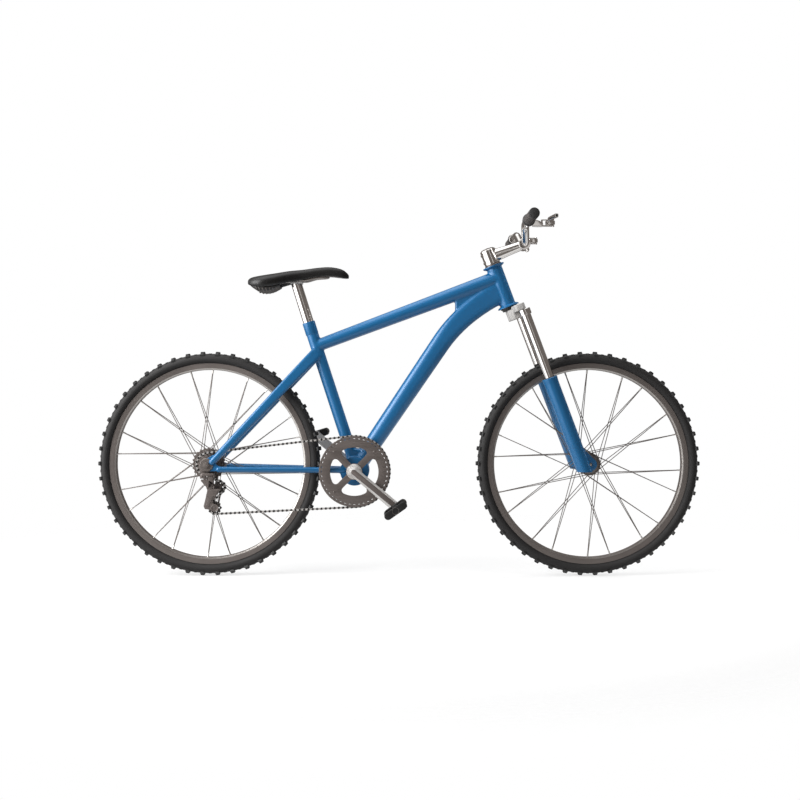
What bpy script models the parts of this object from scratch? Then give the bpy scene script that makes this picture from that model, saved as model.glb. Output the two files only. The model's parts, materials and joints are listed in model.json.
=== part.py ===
"""A bicycle with a rigid rear end and a telescopic fork, as separate pieces on their joint axes.

World axes: +X is the riding direction, +Z is up and the drive side is at -Y. The origin lies on
the ground, midway between the wheel centres. Side-view pieces hang on empties turned so that
their local x points forwards, y upwards and z out of the drive side.
"""
import math

import bmesh
import bpy
from mathutils import Matrix, Vector

for old in list(bpy.data.objects):
    bpy.data.objects.remove(old, do_unlink=True)

mm = 0.001
GAP = 0.3 * mm                       # clearance between neighbouring pieces

# Wheels and where they stand
WHEEL_RADIUS = 335 * mm              # over the tread lugs
WHEELBASE = 1130 * mm
TREAD_LUGS = 46                      # round one tyre
TREAD_HEIGHT = 6.5 * mm
TREAD_LUG_LENGTH = 12.5 * mm
TREAD_HALF_WIDTH = 15 * mm
TYRE_HALF_WIDTH = 22 * mm
TYRE_WALL = 3 * mm
TYRE_HEIGHT = 35 * mm                # tread lugs over the rim lips
RIM_RADIUS = WHEEL_RADIUS - TYRE_HEIGHT
RIM_DEPTH = 20 * mm
RIM_HALF_WIDTH = 13 * mm
RIM_LIP = 2.5 * mm
RIM_BED_DEPTH = 11 * mm
TUBE_WALL = 1.2 * mm
VALVE_HOLE_RADIUS = 2.2 * mm

# Spokes and hubs
HUB_SIDES = 10                       # one side to each pair of rim holes
SPOKE_RADIUS = 1.15 * mm             # to the corners of the three-sided spokes
SPOKE_PAIRS = 10                     # pairs of rim holes round one rim
SPOKE_PAIR_GAP = math.radians(13.7)
SPOKE_CIRCLE = 30.5 * mm             # radius at which the spokes touch the hub flange
SPOKE_STAGGER = 2.2 * mm             # spokes that cross, off their flange's middle
FLANGE_RIM_INNER = 28 * mm
FLANGE_RIM_OUTER = 34 * mm
FLANGE_THICKNESS = 7 * mm
AXLE_RADIUS = 5 * mm
FRONT_FLANGE_OFFSET = 32 * mm
FRONT_HUB_BARREL = 14 * mm
FRONT_HUB_HALF_WIDTH = 50.5 * mm
DUST_DISC_RADIUS = 26 * mm
REAR_FLANGE_RIGHT = 22 * mm
REAR_FLANGE_LEFT = 34 * mm
REAR_HUB_BARREL = 16 * mm
REAR_HUB_HALF_WIDTH = 67.5 * mm
REAR_NUT_RADIUS = 12.5 * mm
REAR_NUT_HEIGHT = 7 * mm

# Drive train
CHAIN_PITCH = 12.7 * mm
CHAINRING_TEETH = 52
SPROCKET_TEETH = (24, 21, 19, 17, 15, 13)
CHAIN_ON_SPROCKET = 3                # index of the sprocket that carries the chain
SPROCKET_SPACING = 5 * mm
TOOTH_THICKNESS = 2 * mm
TOOTH_TIP = 1.5 * mm                 # above the pitch circle
TOOTH_ROOT = 2.6 * mm                # below the pitch circle
PULLEY_TEETH = 9
CHAIN_LINE = 45 * mm                 # chain plane to the bicycle's middle
CHAIN_PLATE_HALF_HEIGHT = 4.2 * mm
CHAIN_PLATE_THICKNESS = 1.1 * mm
CHAIN_INNER_WIDTH = 5 * mm
CHAIN_PIN_RADIUS = 1.8 * mm
CHAIN_ARC_STEP = math.radians(22)
CHAIN_PIN_EVERY = 8                  # links from one modelled pin to the next
FREEHUB_RADIUS = 17.2 * mm
CHAINRING_DISC_RADIUS = 105 * mm
CHAINRING_DISC_THICKNESS = 3 * mm
CHAINRING_WINDOW_RADIUS = 72 * mm
CHAINRING_ARM_WIDTH = 16 * mm
CHAINRING_HOLE = 14 * mm
CRANK_LENGTH = 160 * mm
CRANK_ANGLE = math.radians(-40)      # right crank, from forwards
CRANK_BOSS_RADIUS = 22.6 * mm
CRANK_ROOT_RADIUS = 12 * mm
CRANK_END_RADIUS = 13.5 * mm
CRANK_INNER_FACE = 62 * mm
CRANK_THICKNESS = 14 * mm
SPINDLE_RADIUS = 8 * mm
PEDAL_SPINDLE_RADIUS = 6 * mm
PEDAL_LENGTH = 74 * mm
PEDAL_HEIGHT = 22 * mm
PEDAL_WIDTH = 90 * mm
PEDAL_SHOULDER = 5.4 * mm
PEDAL_RIGHT_TILT = math.radians(35)
PEDAL_LEFT_TILT = math.radians(17)
PEDAL_WINDOW = 15 * mm

# Frame
CHAINSTAY_REACH = 433 * mm           # rear axle to bottom bracket, along the ground
BOTTOM_BRACKET_DROP = 21 * mm
SHELL_RADIUS = 42.5 * mm
SHELL_HALF_WIDTH = 34 * mm
SHELL_BORE = 17.5 * mm
SEAT_TUBE_ANGLE = math.radians(17.4) # from the vertical
SEAT_TUBE_LENGTH = 465 * mm
SEAT_TUBE_RADIUS = 18 * mm
SEAT_TUBE_COLLAR = 19 * mm
SEAT_TUBE_COLLAR_LENGTH = 36 * mm
SEATPOST_RADIUS = 15.8 * mm
SEATPOST_BORE_LENGTH = 210 * mm
SEATPOST_INSERTION = 150 * mm
SEATPOST_EXPOSED = 120 * mm
SEATPOST_WALL = 2 * mm
TOP_TUBE_BELOW_SEAT = 75 * mm
TOP_TUBE_ABOVE_CROWN = 92.6 * mm     # where it meets the steering axis
TOP_TUBE_REAR_RADIUS = 18.2 * mm
TOP_TUBE_FRONT_RADIUS = 23 * mm
DOWN_TUBE_ANGLE = math.radians(34)   # from the vertical
DOWN_TUBE_STRAIGHT = 458 * mm
DOWN_TUBE_WIDTH = 25 * mm
DOWN_TUBE_REAR_HALF_HEIGHT = 24.5 * mm
DOWN_TUBE_MID_HALF_HEIGHT = 29 * mm
DOWN_TUBE_HEAD_HALF_HEIGHT = 34 * mm
DOWN_TUBE_ABOVE_CROWN = 52 * mm
DOWN_TUBE_ENTRY = math.radians(27)   # slope at the head tube
DOWN_TUBE_HEAD_WIDTH = 19 * mm
GUSSET_HALF_THICKNESS = 13 * mm
GUSSET_START = 0.3                   # share of the down tube's bend in front of its edge
HEAD_ANGLE = math.radians(20.5)      # steering axis, from the vertical
HEAD_TUBE_LENGTH = 131.5 * mm
HEAD_TUBE_RADIUS = 23.5 * mm
HEAD_FLANGE_RADIUS = 32.5 * mm
HEAD_FLANGE_THICKNESS = 3 * mm
HEAD_BORE = 20.3 * mm
CHAINSTAY_RADIUS = 8.6 * mm
SEATSTAY_RADIUS = 10 * mm
SEATSTAY_TOP_HEIGHT = 17 * mm
STAY_SPREAD = 73 * mm                # stay ends to the middle plane
DROPOUT_THICKNESS = 6 * mm

# Fork and front end
FORK_LENGTH = 521.9 * mm             # axle to head tube, along the steering axis
FORK_OFFSET = 56.8 * mm              # axle in front of the steering axis
LEG_OFFSET = 32 * mm                 # legs in front of the steering axis
LEG_SPREAD = 65 * mm
LEG_RADIUS = 21.7 * mm
LEG_LIP_RADIUS = 23 * mm
LEG_BELOW_AXLE = 20.5 * mm           # its foot is cut level with the ground
LEG_BORE_LENGTH = 232 * mm
STANCHION_RADIUS = 14.5 * mm
STANCHION_WALL = 2 * mm
STANCHION_EXPOSED = 197 * mm
STANCHION_INSERTION = 110 * mm
PISTON_ROD_RADIUS = 5 * mm
PISTON_LENGTH = 14 * mm
CROWN_TOP = 4.3 * mm                 # below the head tube
CROWN_HEIGHT = 38 * mm
CROWN_CLAMP_RADIUS = 21 * mm
STEERER_RADIUS = 14.3 * mm
STEERER_WALL = 2 * mm
FORK_TIP_THICKNESS = 8 * mm
FORK_TIP_RADIUS = 19 * mm
FRONT_AXLE_END = 62 * mm

# Handlebar, stem and controls
STEM_CLAMP_RADIUS = 23.5 * mm
STEM_CLAMP_HEIGHT = 45 * mm
STEM_ABOVE_HEAD = 5.3 * mm
STEM_LENGTH = 108 * mm
STEM_ARM_RADIUS = 17 * mm
BAR_RADIUS = 11.3 * mm
BAR_CLAMP_RADIUS = 17.5 * mm
BAR_CLAMP_WIDTH = 46 * mm
BAR_HALF_WIDTH = 340 * mm
BAR_RISE = 47 * mm
BAR_SETBACK = 5 * mm
GRIP_LENGTH = 131 * mm
GRIP_RADIUS = 15 * mm
GRIP_FLANGE_RADIUS = 18 * mm
GRIP_FLANGE_THICKNESS = 4 * mm
GRIP_END = 3 * mm
LEVER_CLAMP_GAP = 6 * mm             # beside the grip's flange
LEVER_CLAMP_WIDTH = 14 * mm
LEVER_CLAMP_OFFSET = BAR_HALF_WIDTH - GRIP_LENGTH - LEVER_CLAMP_GAP - LEVER_CLAMP_WIDTH / 2
LEVER_REACH = 66 * mm                # bar to lever pivot
LEVER_DROP = 10 * mm
LEVER_LENGTH = 74 * mm
LEVER_HEIGHT = 13 * mm
LEVER_THICKNESS = 9 * mm
LEVER_PIN_RADIUS = 2.5 * mm

# Saddle
SADDLE_LENGTH = 297 * mm
SADDLE_WIDTH = 150 * mm
SADDLE_HEIGHT = 51.5 * mm            # its highest point over the post head
SADDLE_SHELL_THICKNESS = 3.2 * mm
RAIL_RADIUS = 3.5 * mm
RAIL_SPREAD = 21 * mm
SADDLE_CLAMP_LENGTH = 36 * mm
SADDLE_CLAMP_HALF_WIDTH = 26 * mm
SADDLE_CLAMP_HEIGHT = 14.5 * mm
RAIL_ABOVE_POST = 9.5 * mm
RAIL_REAR_REACH = 96 * mm            # rearwards of the post head
RAIL_REAR_SPREAD = 24 * mm
RAIL_RISE_REACH = 60 * mm            # forwards of the post head, where the rails draw together
RAIL_RISE_SPREAD = 14 * mm
RAIL_RISE_HEIGHT = 17 * mm
RAIL_NOSE_REACH = 96 * mm
RAIL_NOSE_SPREAD = 8 * mm
SADDLE_SEAT_GAP = 0.6 * mm           # cover to shell and shell to rails

# Rear derailleur
HANGER_BACK = 8 * mm                 # behind the axle
HANGER_DROP = 31 * mm
HANGER_BOLT_RADIUS = 4 * mm
HANGER_BOSS_RADIUS = 8 * mm
LINK_FORWARD = 14 * mm               # middle of the links, from the rear axle
LINK_PIN_DROP = 30 * mm
LINK_LENGTH = 35 * mm
LINK_LINE = 78 * mm                  # outer link to the bicycle's middle
LINK_SPACING = 11 * mm
LINK_WIDTH = 14 * mm
LINK_EYE_RADIUS = 4.2 * mm
LINK_PIN_RADIUS = 2 * mm
EAR_THICKNESS = 3 * mm
GUIDE_PULLEY_FORWARD = 32.5 * mm     # from the rear axle
GUIDE_PULLEY_DROP = 67 * mm
CAGE_LENGTH = 62 * mm                # guide pulley to tension pulley
CAGE_ANGLE = math.radians(-100.5)
CAGE_PLATE_THICKNESS = 2 * mm
CAGE_INNER_WIDTH = 10.4 * mm
PULLEY_BOLT_RADIUS = 2.5 * mm

ROUND = 2 * math.pi
FLAT_ANGLE = math.radians(0.2)
SIDE_VIEW = (math.pi / 2, 0, 0)


def collection(name):
    made = bpy.data.collections.new(name)
    bpy.context.scene.collection.children.link(made)
    return made


PIECES = collection("bicycle")
CUTTERS = collection("cutters")


def paint(name, colour, roughness, metallic):
    made = bpy.data.materials.new(name)
    made.use_nodes = True
    shader = made.node_tree.nodes["Principled BSDF"]
    shader.inputs["Base Color"].default_value = (*colour, 1)
    shader.inputs["Roughness"].default_value = roughness
    shader.inputs["Metallic"].default_value = metallic
    return made


BLUE_PAINT = paint("blue_paint", (0.011, 0.165, 0.445), 0.3, 0.1)
CHROME = paint("chrome", (0.62, 0.60, 0.58), 0.16, 1)
GREY_METAL = paint("grey_metal", (0.12, 0.105, 0.095), 0.45, 0.8)
CAST_GREY = paint("cast_grey", (0.48, 0.46, 0.44), 0.5, 0.4)
BLACK_RUBBER = paint("black_rubber", (0.024, 0.024, 0.024), 0.7, 0)
BLACK_PLASTIC = paint("black_plastic", (0.008, 0.008, 0.008), 0.5, 0)
GRIP_RUBBER = paint("grip_rubber", (0.032, 0.032, 0.032), 0.8, 0)
SADDLE_LEATHER = paint("saddle_leather", (0.009, 0.009, 0.009), 0.4, 0)


def axis_empty(name, place, turn=(0, 0, 0)):
    """An empty on a joint's axis, or on the line that a group of pieces is built round."""
    empty = bpy.data.objects.new(name, None)
    empty.empty_display_size = 0.05
    empty.location = place
    empty.rotation_euler = turn
    PIECES.objects.link(empty)
    return empty


def piece(name, mesh, parent, finish):
    made = bpy.data.objects.new(name, mesh)
    made.parent = parent
    if finish:
        mesh.materials.clear()
        mesh.materials.append(finish)
    PIECES.objects.link(made)
    return made


def spare(made):
    """Keeps an object only as an operand of a Boolean."""
    if made.name in PIECES.objects:
        PIECES.objects.unlink(made)
        CUTTERS.objects.link(made)
    made.hide_render = True
    made.display_type = "WIRE"
    return made


def boolean(base, operation, others):
    for other in others:
        step = base.modifiers.new(operation.lower(), "BOOLEAN")
        step.operation = operation
        step.solver = "EXACT"
        step.object = spare(other)
    return base


def fuse(base, *others):
    return boolean(base, "UNION", others)


def cut(base, *others):
    return boolean(base, "DIFFERENCE", others)


def from_bmesh(name, work, parent=None, finish=None):
    bmesh.ops.recalc_face_normals(work, faces=work.faces)
    mesh = bpy.data.meshes.new(name)
    work.to_mesh(mesh)
    work.free()
    return piece(name, mesh, parent, finish)


def settled(made, parent, finish):
    """Turns a curve object into a welded mesh object of the same name."""
    name = made.name
    bpy.context.view_layer.update()
    seen = made.evaluated_get(bpy.context.evaluated_depsgraph_get())
    mesh = bpy.data.meshes.new_from_object(seen)
    bpy.data.objects.remove(made, do_unlink=True)
    work = bmesh.new()
    work.from_mesh(mesh)
    bmesh.ops.remove_doubles(work, verts=work.verts, dist=0.00001)
    work.to_mesh(mesh)
    work.free()
    mesh.name = name
    return piece(name, mesh, parent, finish)


def turned(name, profile, steps, parent=None, finish=None, ring=True):
    """A turned shape from (radius, height) points, top to bottom down the outer side."""
    mesh = bpy.data.meshes.new(name)
    count = len(profile)
    edges = [(n, n + 1) for n in range(count - 1)]
    if ring:
        edges.append((count - 1, 0))
    mesh.from_pydata([(r, 0, z) for r, z in profile], edges, [])
    made = piece(name, mesh, parent, finish)
    spin = made.modifiers.new("turn", "SCREW")
    spin.steps = steps
    spin.render_steps = steps
    spin.use_merge_vertices = True
    spin.merge_threshold = 0.00001
    spin.use_smooth_shade = True
    return made


def cylinder(name, radius, low, high, steps, parent=None, finish=None):
    profile = [(0, high), (radius, high), (radius, low), (0, low)]
    return turned(name, profile, steps, parent, finish, ring=False)


def tube(name, outer, inner, low, high, steps, parent=None, finish=None):
    profile = [(outer, high), (outer, low), (inner, low), (inner, high)]
    return turned(name, profile, steps, parent, finish)


def rod(name, start, end, radius, sides, parent=None, finish=None, end_radius=None):
    """A straight round bar between two points."""
    start, end = Vector(start), Vector(end)
    along = end - start
    work = bmesh.new()
    bmesh.ops.create_cone(work, cap_ends=True, segments=sides, radius1=radius,
                          radius2=end_radius or radius, depth=along.length)
    turn = along.to_track_quat("Z", "Y").to_matrix().to_4x4()
    place = Matrix.Translation((start + end) / 2) @ turn
    bmesh.ops.transform(work, matrix=place, verts=work.verts)
    return from_bmesh(name, work, parent, finish)


def block(name, low, high, parent=None, finish=None, bevel=0):
    low, high = Vector(low), Vector(high)
    work = bmesh.new()
    bmesh.ops.create_cube(work, size=1)
    size = Matrix.Diagonal((*(high - low), 1))
    bmesh.ops.transform(work, matrix=Matrix.Translation((low + high) / 2) @ size, verts=work.verts)
    made = from_bmesh(name, work, parent, finish)
    if bevel:
        edge = made.modifiers.new("edge", "BEVEL")
        edge.width = bevel
        edge.segments = 1
    return made


def bent_bar(name, points, radius, resolution, parent=None, finish=None):
    """A round bar through points, as a curve turned into a mesh."""
    curve = bpy.data.curves.new(name, "CURVE")
    curve.dimensions = "3D"
    curve.bevel_depth = radius
    curve.bevel_resolution = resolution
    curve.use_fill_caps = True
    spline = curve.splines.new("POLY")
    spline.points.add(len(points) - 1)
    for point, place in zip(spline.points, points):
        point.co = (*place, 1)
    made = bpy.data.objects.new(name, curve)
    PIECES.objects.link(made)
    return settled(made, parent, finish)


def plate(name, outlines, low, high, parent=None, finish=None):
    """A flat piece: the first outline is its edge and the others are its holes."""
    curve = bpy.data.curves.new(name, "CURVE")
    curve.dimensions = "2D"
    curve.fill_mode = "BOTH"
    curve.extrude = (high - low) / 2
    for outline in outlines:
        spline = curve.splines.new("POLY")
        spline.points.add(len(outline) - 1)
        for point, (x, y) in zip(spline.points, outline):
            point.co = (x, y, 0, 1)
        spline.use_cyclic_u = True
    made = bpy.data.objects.new(name, curve)
    PIECES.objects.link(made)
    made = settled(made, parent, finish)
    work = bmesh.new()
    work.from_mesh(made.data)
    bmesh.ops.translate(work, verts=work.verts, vec=(0, 0, (high + low) / 2))
    bmesh.ops.dissolve_limit(work, angle_limit=FLAT_ANGLE, verts=work.verts, edges=work.edges)
    work.to_mesh(made.data)
    work.free()
    return made


def loft(name, rings, parent=None, finish=None):
    """A skin over rings of as many points each, closed at both ends."""
    work = bmesh.new()
    rows = [[work.verts.new(point) for point in ring] for ring in rings]
    count = len(rows[0])
    for near, far in zip(rows, rows[1:]):
        for n in range(count):
            m = (n + 1) % count
            work.faces.new((near[n], near[m], far[m]))
            work.faces.new((near[n], far[m], far[n]))
    work.faces.new(rows[0][::-1])
    work.faces.new(rows[-1])
    return from_bmesh(name, work, parent, finish)


def oval(centre, tall, wide, count, square=2):
    """Points round an ellipse, or round a squarer figure where square is over 2."""
    centre, tall, wide = Vector(centre), Vector(tall), Vector(wide)
    points = []
    for n in range(count):
        turn = ROUND * (n + 0.5) / count
        c, s = math.cos(turn), math.sin(turn)
        a = math.copysign(abs(c) ** (2 / square), c)
        b = math.copysign(abs(s) ** (2 / square), s)
        points.append(centre + tall * a + wide * b)
    return points


def circle(x, y, radius, count, start=0):
    return [(x + radius * math.cos(start + ROUND * n / count),
             y + radius * math.sin(start + ROUND * n / count)) for n in range(count)]


def toothed(teeth, root, tip):
    """A toothed edge with one root point and one tip point a tooth, a root at angle 0."""
    outline = []
    for n in range(2 * teeth):
        radius = tip if n % 2 else root
        turn = ROUND * n / (2 * teeth)
        outline.append((radius * math.cos(turn), radius * math.sin(turn)))
    return outline


def rounded(corners, steps=3):
    """An outline from (x, y, radius) corners, with an arc at each corner that has a radius."""
    outline = []
    count = len(corners)
    for n, (x, y, radius) in enumerate(corners):
        here = Vector((x, y))
        if not radius:
            outline.append((x, y))
            continue
        before = (Vector(corners[n - 1][:2]) - here).normalized()
        after = (Vector(corners[(n + 1) % count][:2]) - here).normalized()
        half = before.angle(after) / 2
        middle = here + (before + after).normalized() * radius / math.sin(half)
        first = here + before * radius / math.tan(half)
        last = here + after * radius / math.tan(half)
        start = math.atan2(*(first - middle).yx)
        sweep = math.atan2(*(last - middle).yx) - start
        sweep = (sweep + math.pi) % ROUND - math.pi
        for k in range(steps + 1):
            turn = start + sweep * k / steps
            outline.append((middle.x + radius * math.cos(turn), middle.y + radius * math.sin(turn)))
    return outline


def pitch_radius(teeth):
    return CHAIN_PITCH / (2 * math.sin(math.pi / teeth))


# Places worked out from the sizes above
REAR_AXLE = Vector((-WHEELBASE / 2, 0, WHEEL_RADIUS))
FRONT_AXLE = Vector((WHEELBASE / 2, 0, WHEEL_RADIUS))
BOTTOM_BRACKET = REAR_AXLE + Vector((CHAINSTAY_REACH, 0, -BOTTOM_BRACKET_DROP))
STEER_UP = Vector((-math.sin(HEAD_ANGLE), 0, math.cos(HEAD_ANGLE)))
STEER_FORWARD = Vector((math.cos(HEAD_ANGLE), 0, math.sin(HEAD_ANGLE)))
HEAD_BOTTOM = FRONT_AXLE + FORK_LENGTH * STEER_UP - FORK_OFFSET * STEER_FORWARD
SEAT_UP = Vector((-math.sin(SEAT_TUBE_ANGLE), 0, math.cos(SEAT_TUBE_ANGLE)))
SEAT_TOP = BOTTOM_BRACKET + SEAT_TUBE_LENGTH * SEAT_UP
POST_TOP = SEAT_TOP + SEATPOST_EXPOSED * SEAT_UP

rear_axle_line = axis_empty("rear_axle_line", REAR_AXLE, SIDE_VIEW)
front_axle_line = axis_empty("front_axle_line", FRONT_AXLE, SIDE_VIEW)
crank_line = axis_empty("crank_line", BOTTOM_BRACKET, SIDE_VIEW)
steering_line = axis_empty("steering_line", HEAD_BOTTOM, (0, -HEAD_ANGLE, 0))
seat_line = axis_empty("seat_line", SEAT_TOP, (0, -SEAT_TUBE_ANGLE, 0))


# Tyre, inner tube, rim and spokes of one wheel
LUG_STEP = ROUND / TREAD_LUGS
FACET = math.cos(LUG_STEP / 2)
TYRE_RADIUS = (WHEEL_RADIUS - TREAD_HEIGHT) / FACET
TYRE_BELLY = (RIM_RADIUS + TYRE_RADIUS) / 2
RIM_BED = RIM_RADIUS - RIM_BED_DEPTH
RIM_INNER = RIM_RADIUS - RIM_DEPTH
BEAD_HALF_WIDTH = RIM_HALF_WIDTH - RIM_LIP - GAP


def mirrored_ring(outer, inner):
    """A closed turning profile from its upper half: the outer side downwards, the inner back up."""
    lower = [(r, -z) for r, z in reversed(outer)]
    back = [(r, -z) for r, z in inner]
    return outer + lower + back + list(reversed(inner))


def make_tyre(name, line):
    outer = [(TYRE_RADIUS, TREAD_HALF_WIDTH),
             (TYRE_BELLY, TYRE_HALF_WIDTH),
             (RIM_RADIUS + GAP, BEAD_HALF_WIDTH),
             (RIM_BED + GAP, BEAD_HALF_WIDTH)]
    inner = [(RIM_BED + GAP, BEAD_HALF_WIDTH - 0.8 * TYRE_WALL),
             (TYRE_RADIUS - TYRE_WALL, TREAD_HALF_WIDTH)]
    # the outer side is passed from the upper bead over the tread to the lower bead
    profile = list(reversed(outer)) + [(r, -z) for r, z in outer]
    profile += [(r, -z) for r, z in inner] + list(reversed(inner))
    tyre = turned(name, profile, TREAD_LUGS, line, BLACK_RUBBER)
    work = bmesh.new()
    low = TYRE_RADIUS * FACET - TYRE_WALL / 2
    for n in range(TREAD_LUGS):
        turn = (n + 0.5) * LUG_STEP
        made = bmesh.ops.create_cube(work, size=1)
        size = Matrix.Diagonal((WHEEL_RADIUS - low, TREAD_LUG_LENGTH,
                                2 * TREAD_HALF_WIDTH - 2 * mm, 1))
        move = Matrix.Translation(((WHEEL_RADIUS + low) / 2, 0, 0))
        bmesh.ops.transform(work, matrix=Matrix.Rotation(turn, 4, "Z") @ move @ size,
                            verts=made["verts"])
    return fuse(tyre, from_bmesh(name + "_lugs", work, line))


def make_inner_tube(name, line):
    steps = TREAD_LUGS // 3
    low = (RIM_BED + GAP) / math.cos(ROUND / steps / 2)
    high = (TYRE_RADIUS - TYRE_WALL) * FACET - GAP
    middle = (low + high) / 2
    wide = TREAD_HALF_WIDTH - TYRE_WALL - GAP

    def section(inset):
        lower = low + inset, wide / 2 - inset
        upper = high - inset, wide - inset
        return [lower, upper, (upper[0], -upper[1]), (lower[0], -lower[1])]

    made = turned(name, section(0), steps, line, BLACK_RUBBER)
    hollow = turned(name + "_air", section(TUBE_WALL), steps, line)
    hole = rod(name + "_valve_hole", (RIM_BED, 0, 0), (middle, 0, 0), VALVE_HOLE_RADIUS, 6, line)
    return cut(made, hollow, hole)


def make_rim(name, line):
    profile = [(RIM_RADIUS, RIM_HALF_WIDTH),
               (RIM_RADIUS, RIM_HALF_WIDTH - RIM_LIP),
               (RIM_BED, RIM_HALF_WIDTH - RIM_LIP),
               (RIM_BED, -(RIM_HALF_WIDTH - RIM_LIP)),
               (RIM_RADIUS, -(RIM_HALF_WIDTH - RIM_LIP)),
               (RIM_RADIUS, -RIM_HALF_WIDTH),
               (RIM_INNER, -0.8 * RIM_HALF_WIDTH),
               (RIM_INNER, 0.8 * RIM_HALF_WIDTH)]
    return turned(name, profile, TREAD_LUGS, line, GREY_METAL)


def spoke_pair(work, turn, way, flanges):
    """The right and left spoke of one rim hole, which run together just before the rim."""
    steepness = sum(abs(offset) for side, offset in flanges) / 2 / RIM_INNER
    tip = RIM_INNER * FACET - 2 * GAP
    meeting = tip - SPOKE_RADIUS / steepness
    radial = Vector((math.cos(turn), math.sin(turn), 0))
    across = Vector((-math.sin(turn), math.cos(turn), 0))
    half = SPOKE_RADIUS * math.sin(math.pi / 3)
    near = meeting - SPOKE_RADIUS / 2 / steepness
    joint = [radial * tip, radial * near + across * half, radial * near - across * half]
    shared = [work.verts.new(point) for point in joint]
    back = turn - way * math.acos(SPOKE_CIRCLE / meeting)
    for side, offset in flanges:
        hook = Vector((SPOKE_CIRCLE * math.cos(back), SPOKE_CIRCLE * math.sin(back),
                       offset + way * SPOKE_STAGGER))
        along = (hook - radial * meeting).normalized()
        ends = [work.verts.new(point + along * (hook - point).dot(along)) for point in joint]
        for n in range(3):
            work.faces.new((ends[n], ends[n - 1], shared[n - 1], shared[n]))
        work.faces.new(ends)


def make_spokes(name, line, flanges, phase):
    """All spokes of a wheel, joined by the two flange rims that they hook into."""
    rings = []
    for side, offset in flanges:
        ring = tube(name + "_ring" + side, FLANGE_RIM_OUTER, FLANGE_RIM_INNER,
                    offset - FLANGE_THICKNESS / 2, offset + FLANGE_THICKNESS / 2, HUB_SIDES, line)
        ring.rotation_euler.z = phase
        rings.append(ring)
    wires = bmesh.new()
    for pair in range(SPOKE_PAIRS):
        middle = phase + ROUND * pair / SPOKE_PAIRS
        for way in (-1, 1):
            spoke_pair(wires, middle + way * SPOKE_PAIR_GAP / 2, way, flanges)
    return fuse(from_bmesh(name, wires, line, CHROME), *rings)


def make_wheel(prefix, line, flanges, phase):
    make_tyre(prefix + "_tyre", line)
    make_inner_tube(prefix + "_inner_tube", line)
    make_rim(prefix + "_rim", line)
    make_spokes(prefix + "_spokes", line, flanges, phase)


make_wheel("front", front_axle_line,
           (("right", FRONT_FLANGE_OFFSET), ("left", -FRONT_FLANGE_OFFSET)),
           math.radians(97))
make_wheel("rear", rear_axle_line,
           (("right", REAR_FLANGE_RIGHT), ("left", -REAR_FLANGE_LEFT)),
           math.radians(95.3))


# Hubs and axles
def around(radius, sides):
    """Radius to the corners of a many-sided bore that clears a round piece at any turn."""
    return (radius + GAP) / math.cos(math.pi / sides)


HUB_FACET = math.cos(math.pi / HUB_SIDES)
HUB_FLANGE = FLANGE_RIM_INNER * HUB_FACET - GAP
HUB_BORE = around(AXLE_RADIUS, HUB_SIDES)
NOSE = 9 * mm


def make_front_hub():
    end = FRONT_HUB_HALF_WIDTH - GAP
    half = FLANGE_THICKNESS / 2 - 0.5 * mm
    offset = FRONT_FLANGE_OFFSET
    outer = [(NOSE, end), (DUST_DISC_RADIUS, end - 4 * mm),
             (DUST_DISC_RADIUS, end - 7 * mm), (FRONT_HUB_BARREL, end - 8 * mm),
             (FRONT_HUB_BARREL, offset + half), (HUB_FLANGE, offset + half),
             (HUB_FLANGE, offset - half), (FRONT_HUB_BARREL, offset - half)]
    return turned("front_hub", mirrored_ring(outer, [(HUB_BORE, end)]), HUB_SIDES,
                  front_axle_line, GREY_METAL)


def make_rear_hub():
    half = FLANGE_THICKNESS / 2 - 0.5 * mm
    right, left = REAR_FLANGE_RIGHT, REAR_FLANGE_LEFT
    end = REAR_HUB_HALF_WIDTH - GAP
    outer = [(FREEHUB_RADIUS, right + half), (HUB_FLANGE, right + half),
             (HUB_FLANGE, right - half), (REAR_HUB_BARREL, right - half),
             (REAR_HUB_BARREL, half - left), (HUB_FLANGE, half - left),
             (HUB_FLANGE, -half - left), (REAR_HUB_BARREL, -half - left),
             (REAR_HUB_BARREL, 12 * mm - end), (NOSE, 6 * mm - end), (NOSE, -end)]
    return turned("rear_hub", outer + [(HUB_BORE, -end), (HUB_BORE, right + half)], HUB_SIDES,
                  rear_axle_line, GREY_METAL)


make_front_hub()
make_rear_hub()

dome = 3.5 * mm
turned("front_axle", [(0, FRONT_AXLE_END), (0.7 * AXLE_RADIUS, FRONT_AXLE_END - 0.3 * dome),
                      (AXLE_RADIUS, FRONT_AXLE_END - dome), (AXLE_RADIUS, dome - FRONT_AXLE_END),
                      (0.7 * AXLE_RADIUS, 0.3 * dome - FRONT_AXLE_END), (0, -FRONT_AXLE_END)],
       HUB_SIDES, front_axle_line, CHROME, ring=False)

SPROCKETS_HIGH = CHAIN_LINE + SPROCKET_SPACING * (len(SPROCKET_TEETH) - 1 - CHAIN_ON_SPROCKET)
CASSETTE_OUTER = SPROCKETS_HIGH + TOOTH_THICKNESS / 2
FREEHUB_LOW = REAR_FLANGE_RIGHT + FLANGE_THICKNESS / 2 + GAP
FREEHUB_HIGH = CASSETTE_OUTER + 2 * mm
DROPOUT_OUTER = REAR_HUB_HALF_WIDTH + DROPOUT_THICKNESS


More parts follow.
